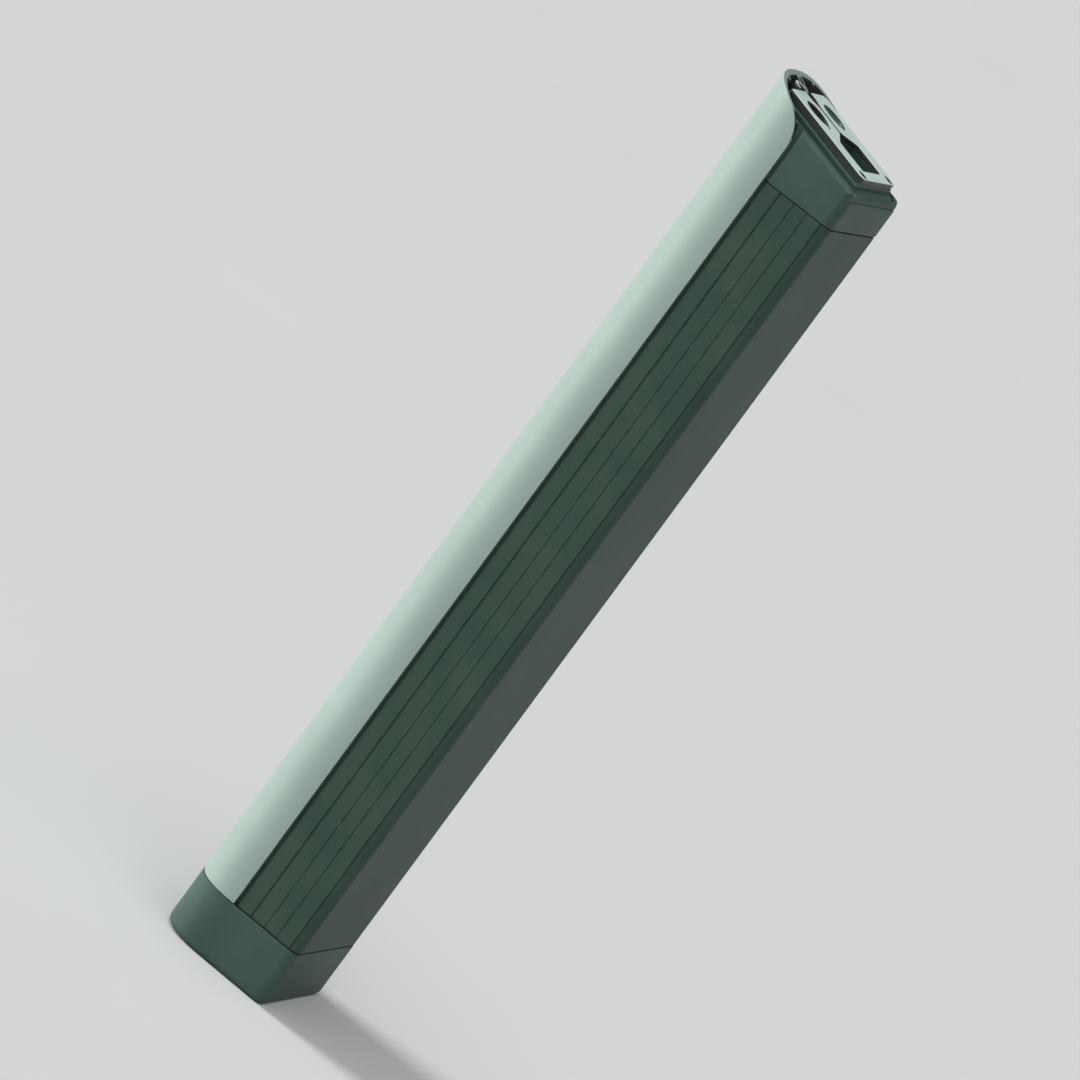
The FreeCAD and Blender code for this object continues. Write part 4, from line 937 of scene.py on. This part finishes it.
plunger_profile = np.array([(0, PLUNGER_FOOT), (PLUNGER_RADIUS, PLUNGER_FOOT),
                            (PLUNGER_RADIUS, STEM_FOOT), (0, STEM_FOOT)])
plunger_profile = eased(plunger_profile, 0.25, closed=False)
acetal = finish("acetal_white", (196, 196, 190), (216, 216, 210), 0.4, grain=0.3, depth=0.004, patch=4,
                dust=0.04)
laid("switch_plunger_acetal", at_button(plunger_profile, 48), "button", ["switch_plunger"],
     [acetal])
switch_profile = np.array([(0, SWITCH_FOOT), (SWITCH_OUT, SWITCH_FOOT), (SWITCH_OUT, SWITCH_TOP),
                           (SWITCH_IN, SWITCH_TOP), (SWITCH_IN, SWITCH_FLOOR), (0, SWITCH_FLOOR)])
switch_steel = finish("switch_shell", (150, 153, 151), (180, 183, 181), 0.32, metallic=1.0, grain=0.3,
                      depth=0.003, patch=4, dust=0.05)
laid("switch_shell", at_button(eased(switch_profile, 0.15, closed=False), 64), "pack", ["switch_body"],
     [switch_steel])

SPRING_RADIUS, SPRING_WIRE, SPRING_TURNS = 3.9, 0.25, 4
SPRING_LOW, SPRING_HIGH, SPRING_FOOT = -11.6, -6.6, -11.85


def coil(radius, wire, low, high, turns, steps=48, sides=16):
    """Flat-sided wire along a helix: at the share s the centre is at the angle 2 pi turns s and at
    a height that rises evenly. The wire's section stands across the path and is the curve
    |x|^6 + |y|^6 = 1 times the wire's half width, a square with soft corners."""
    share = np.linspace(0, 1, turns * steps + 1)
    angle = 2 * np.pi * turns * share
    outward = np.column_stack((np.cos(angle), np.sin(angle), np.zeros_like(angle)))
    centre = outward * radius + np.column_stack((np.zeros((len(share), 2)), low + (high - low) * share))
    path = np.column_stack((-np.sin(angle) * radius, np.cos(angle) * radius,
                            np.full(len(angle), (high - low) / (2 * np.pi * turns))))
    path /= np.linalg.norm(path, axis=1, keepdims=True)
    across = np.cross(path, outward)
    turn = np.arange(sides) * (2 * np.pi / sides)
    stretch = wire / (np.abs(np.cos(turn)) ** 6 + np.abs(np.sin(turn)) ** 6) ** (1 / 6)
    rings = (centre[:, None] + outward[:, None] * (stretch * np.cos(turn))[None, :, None]
             + across[:, None] * (stretch * np.sin(turn))[None, :, None])
    points = rings.reshape(-1, 3)
    last = (len(share) - 1) * sides
    ends = [list(range(sides))[::-1], [last + number for number in range(sides)]]
    return points, walls(len(share), sides) + ends


spring_wire = finish("spring_wire", (168, 170, 168), (196, 198, 196), 0.24, metallic=1.0, grain=0.3,
                     depth=0.002, patch=4, dust=0.04)
spring = coil(SPRING_RADIUS, SPRING_WIRE, SPRING_LOW, SPRING_HIGH, SPRING_TURNS)
spring_piece = laid("button_spring_coil", on_plate(moved(spring, (HOLE_U, HOLE_Y, 0))), "pack",
                    ["button_spring"], [spring_wire])
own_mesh(spring_piece)

# ---- discharge connector and vent ----------------------------------------------------------
# The socket block in the base has two wide blade contacts and four signal pins, and beside it a
# snap-in vent lets the casing breathe but keeps water out.
socket_grey = finish("connector_black", (28, 31, 30), (40, 43, 42), 0.44, grain=0.3, depth=0.008, patch=8,
                     rubbed=(92, 98, 95), rub_width=0.3, rub_amount=0.4, dust=0.12)
softened("discharge_block", "discharge_connector", "pack", socket_grey, 0.15)
gold = finish("gold_flash", (206, 160, 70), (232, 190, 100), 0.22, metallic=1.0, grain=0.2, depth=0.002,
              patch=4, rubbed=(240, 210, 140), rub_width=0.2, rub_amount=0.4, dust=0.03)
dressed(["power_contacts", "signal_contacts"], gold)
VENT_OUT, VENT_STEM, VENT_BORE = 4.0, 1.9, 1.2
vent_low, vent_high = span("pressure_vent")
vent_foot, vent_top = vent_low[2], vent_high[2]
vent_step, vent_disc = vent_foot + 0.3, vent_foot + 1.7
vent_profile = np.array([
    (0, vent_foot), (2.6, vent_foot), (2.8, vent_step), (3.2, vent_step), (3.4, vent_foot),
    (VENT_OUT, vent_step), (VENT_OUT, vent_disc), (VENT_STEM, vent_disc), (VENT_STEM, vent_top),
    (VENT_BORE, vent_top), (VENT_BORE, vent_disc), (0, vent_disc)])
vent_black = finish("vent_black", (24, 26, 26), (36, 38, 38), 0.5, grain=0.3, depth=0.01, patch=5, dust=0.12)
vent = moved(turned(eased(vent_profile, 0.12, closed=False), 64), ((vent_low[0] + vent_high[0]) / 2, 0, 0))
laid("pressure_vent_cap", vent, "pack", ["pressure_vent"], [vent_black])

# ---- cover ---------------------------------------------------------------------------------
# The arched aluminium cover is extruded, cut off slanting at its upper end with a round corner down each leg,
# and sprayed satin sage outside. Its inside faces are coloured near black as painted shade, for the dark
# under the arch. Lips along its legs slide in the casing's channels, and the split rib under its crown takes
# one long screw from below.
COVER_STEPS = 161
COVER_END_ANGLE = 25.6
COVER_CORNER = 16.0
COVER_RIM = 0.4
LIP = (-7.5, -6.0, 1.2)
RIB = (2.7, -17.9, 2.6)
RIB_BORE = (1.5, -19.1, 1.4)
RIB_SLIT = 0.4
STIFFENER = (16.5, 0.7, -22.2)
INSIDE_SHARE = 0.9
END_STEEPNESS = 0.6

inner_arch_half = HALF_WIDTH - COVER_WALL
inner_arch_height = ARCH_HEIGHT - COVER_WALL
crown_in = crown_x + COVER_WALL


def along_inner_arch(y0, y1, steps):
    """Points of the inner arch between two places across, evenly spaced in the arch's angle."""
    t0, t1 = (math.acos(min(1.0, (y / inner_arch_half)) ** (ARCH_POWER / 2)) for y in (y0, y1))
    t = np.linspace(t0, t1, steps)
    y = np.cos(t) ** (2 / ARCH_POWER) * inner_arch_half
    return np.column_stack((arch_x(y, inner_arch_half, inner_arch_height, spring_x), y))


lip_y = inner_arch_half - LIP[2]
lip_in = arch_y(LIP[0], inner_arch_half, inner_arch_height, spring_x)
stiff_out, stiff_in = STIFFENER[0] + STIFFENER[1], STIFFENER[0] - STIFFENER[1]
stiff_tip = np.column_stack((
    STIFFENER[2] + STIFFENER[1] * (np.sin(np.linspace(0, np.pi, 7)) - 1),
    STIFFENER[0] + STIFFENER[1] * np.cos(np.linspace(0, np.pi, 7))))
rib_turn = np.linspace(np.pi / 2, math.asin(RIB_SLIT / RIB[2]), 6)
rib_centre = RIB[1] - RIB[2]
rib_nose = np.column_stack((rib_centre + RIB[2] * np.cos(rib_turn), RIB[0] * np.sin(rib_turn)))
bore_turn = np.linspace(math.asin(RIB_SLIT / RIB_BORE[2]), np.pi / 2, 4)
bore_centre = RIB_BORE[1] - RIB_BORE[2]
bore_nose = np.column_stack((bore_centre + RIB_BORE[2] * np.cos(bore_turn), RIB_BORE[0] * np.sin(bore_turn)))
bore_head = crown_in + 0.6 + RIB_BORE[2]
head_turn = np.linspace(0, np.pi / 2, 8)
bore_crown = np.column_stack((bore_head - RIB_BORE[2] * np.sin(head_turn), RIB_BORE[0] * np.cos(head_turn)))
inner_half_path = np.concatenate((
    [(cover_edge_x, inner_arch_half), (LIP[1], inner_arch_half - 0.03), (LIP[1], lip_y), (LIP[0], lip_y)],
    along_inner_arch(lip_in, stiff_out, 26), stiff_tip, along_inner_arch(stiff_in, RIB[0] + 0.01, 22),
    rib_nose, bore_nose, bore_crown[:-1]))
outer_arch = arch(HALF_WIDTH, ARCH_HEIGHT, spring_x, COVER_STEPS)[1:-1]
outer_path = np.concatenate(([(cover_edge_x, -HALF_WIDTH)], outer_arch, [(cover_edge_x, HALF_WIDTH)]))
middle = np.array([(crown_in + 0.6, 0.0)])
cover_outline = np.concatenate((outer_path, inner_half_path, middle, inner_half_path[::-1] * (1, -1)))[::-1]


def cover_top(place):
    """Height of the cover's upper end at (x, y): the slanted line down from the crown, which from
    the corner's start follows a circle that ends upright at the leg's edge."""
    slope = math.tan(math.radians(COVER_END_ANGLE))
    line = cover_high[2] - slope * (place[:, 0] - crown_x)
    centre_x = cover_edge_x - COVER_CORNER
    reach = COVER_CORNER * math.tan(math.radians((90 - COVER_END_ANGLE) / 2))
    centre_z = cover_high[2] - slope * (cover_edge_x - crown_x) - reach
    start_x = centre_x + COVER_CORNER * math.sin(math.radians(COVER_END_ANGLE))
    across = np.clip((place[:, 0] - centre_x) / COVER_CORNER, -1, 0.9995)
    circle = centre_z + COVER_CORNER * np.sqrt(1 - across ** 2)
    return np.where(place[:, 0] > start_x, circle, line)


cover_shape = extruded([cover_outline], level(cover_low[2]), cover_top, 0.3, COVER_RIM, 4)
sage = finish("sage_paint", (134, 153, 145), (142, 162, 153), 0.42, grain=0.12, depth=0.002, patch=60,
              rubbed=(190, 204, 198), rub_width=0.5, rub_amount=0.45, dust=0.10, uneven=0.14,
              coat_weight=0.7, coat_roughness=0.36)
# painted shade: the near-black finish on the cover's inside faces stands in for the shade under the arch
inside_shade_finish = finish("cover_inside_painted_shade", (22, 27, 25), (30, 36, 33), 0.6, grain=0.25, depth=0.01, patch=20, dust=0.2)
cover = laid("cover_painted", cover_shape, "pack", ["cover"], [sage, inside_shade_finish])
# faces inside the arch, not its cut ends, take the near-black painted shade
middles = per_face(cover, "center") * 1000
inside = (np.abs(middles[:, 1] / HALF_WIDTH) ** ARCH_POWER
          + (np.maximum(spring_x - middles[:, 0], 0) / ARCH_HEIGHT) ** ARCH_POWER) < INSIDE_SHARE
inside &= np.abs(per_face(cover, "normal")[:, 2]) < END_STEEPNESS
second_finish(cover, inside)

# ---- floor, light and camera ---------------------------------------------------------------
# A wide pale floor under the standing pack, a broad strong light on the cover, weaker ones over
# the end plate and towards the near side, and a long lens that looks a little down and across.
LENS = 230.0
VIEW_DISTANCE = 2.6
VIEW_RIGHT = Vector((0.757, 0.298, 0.581))
VIEW_UP = Vector((-0.609, 0.0, 0.793))
VIEW_AIM = Vector((0.0, 0.0, 0.2))
FLOOR_SIZE = 40.0
FLOOR_TILES = 8

steps = np.linspace(-FLOOR_SIZE, FLOOR_SIZE, FLOOR_TILES + 1)
grid_x, grid_y = np.meshgrid(steps, steps, indexing="ij")
floor_points = np.stack((grid_x, grid_y, np.zeros_like(grid_x)), axis=2).reshape(-1, 3)
tile = np.arange(FLOOR_TILES)
corner = (tile[:, None] * len(steps) + tile[None]).ravel()
floor_faces = np.stack((corner, corner + len(steps), corner + len(steps) + 1, corner + 1), axis=1)
floor_mesh = bpy.data.meshes.new("floor")
floor_mesh.from_pydata(floor_points, [], floor_faces.tolist())
floor_mesh.materials.append(finish("pale_floor", (193, 195, 194), (195, 197, 196), 0.8, grain=1.2, depth=0.01,
                                   patch=300, dust=0.0))
floor = bpy.data.objects.new("floor", floor_mesh)
bpy.context.scene.collection.objects.link(floor)


def lamp_from(name, kind, direction, distance, power, size, colour):
    """A lamp in that direction from the pack's middle, turned to face it. size is an area lamp's
    side in metres, or the width in degrees of a far lamp's disc."""
    lamp = bpy.data.lights.new(name, kind)
    if kind == "SUN":
        lamp.angle = math.radians(size)
    else:
        lamp.shape = "SQUARE"
        lamp.size = size
    lamp.energy = power
    lamp.color = colour
    made = bpy.data.objects.new(name, lamp)
    away = Vector(direction).normalized()
    made.location = VIEW_AIM + away * distance
    made.rotation_mode = "QUATERNION"
    made.rotation_quaternion = away.to_track_quat("Z", "Y")
    bpy.context.scene.collection.objects.link(made)


lamp_from("key_light", "SUN", (-0.92, -0.15, 0.36), 5.0, 4.3, 24.0, (1.0, 1.0, 0.985))
lamp_from("fill_light", "SUN", (0.15, -1.0, 0.25), 5.0, 0.6, 60.0, (1.0, 1.0, 1.0))
lamp_from("top_light", "SUN", (0.05, -0.20, 1.0), 5.0, 1.4, 40.0, (1.0, 1.0, 1.0))

world = bpy.data.worlds.new("pale_room")
world.use_nodes = True
world.node_tree.nodes["Background"].inputs["Color"].default_value = (0.95, 0.98, 0.97, 1.0)
world.node_tree.nodes["Background"].inputs["Strength"].default_value = 0.25
bpy.context.scene.world = world
bpy.context.scene.view_settings.view_transform = "Standard"

lens = bpy.data.cameras.new("camera")
lens.lens = LENS
lens.sensor_width = 36.0
lens.clip_start = 0.1
lens.clip_end = 200.0
camera = bpy.data.objects.new("camera", lens)
view_back = VIEW_RIGHT.cross(VIEW_UP).normalized()
up = view_back.cross(VIEW_RIGHT).normalized()
right = up.cross(view_back).normalized()
camera.rotation_mode = "QUATERNION"
turn = Matrix((right, up, view_back)).transposed()
camera.rotation_quaternion = turn.to_quaternion()
camera.location = VIEW_AIM + view_back * VIEW_DISTANCE
bpy.context.scene.collection.objects.link(camera)
bpy.context.scene.camera = camera
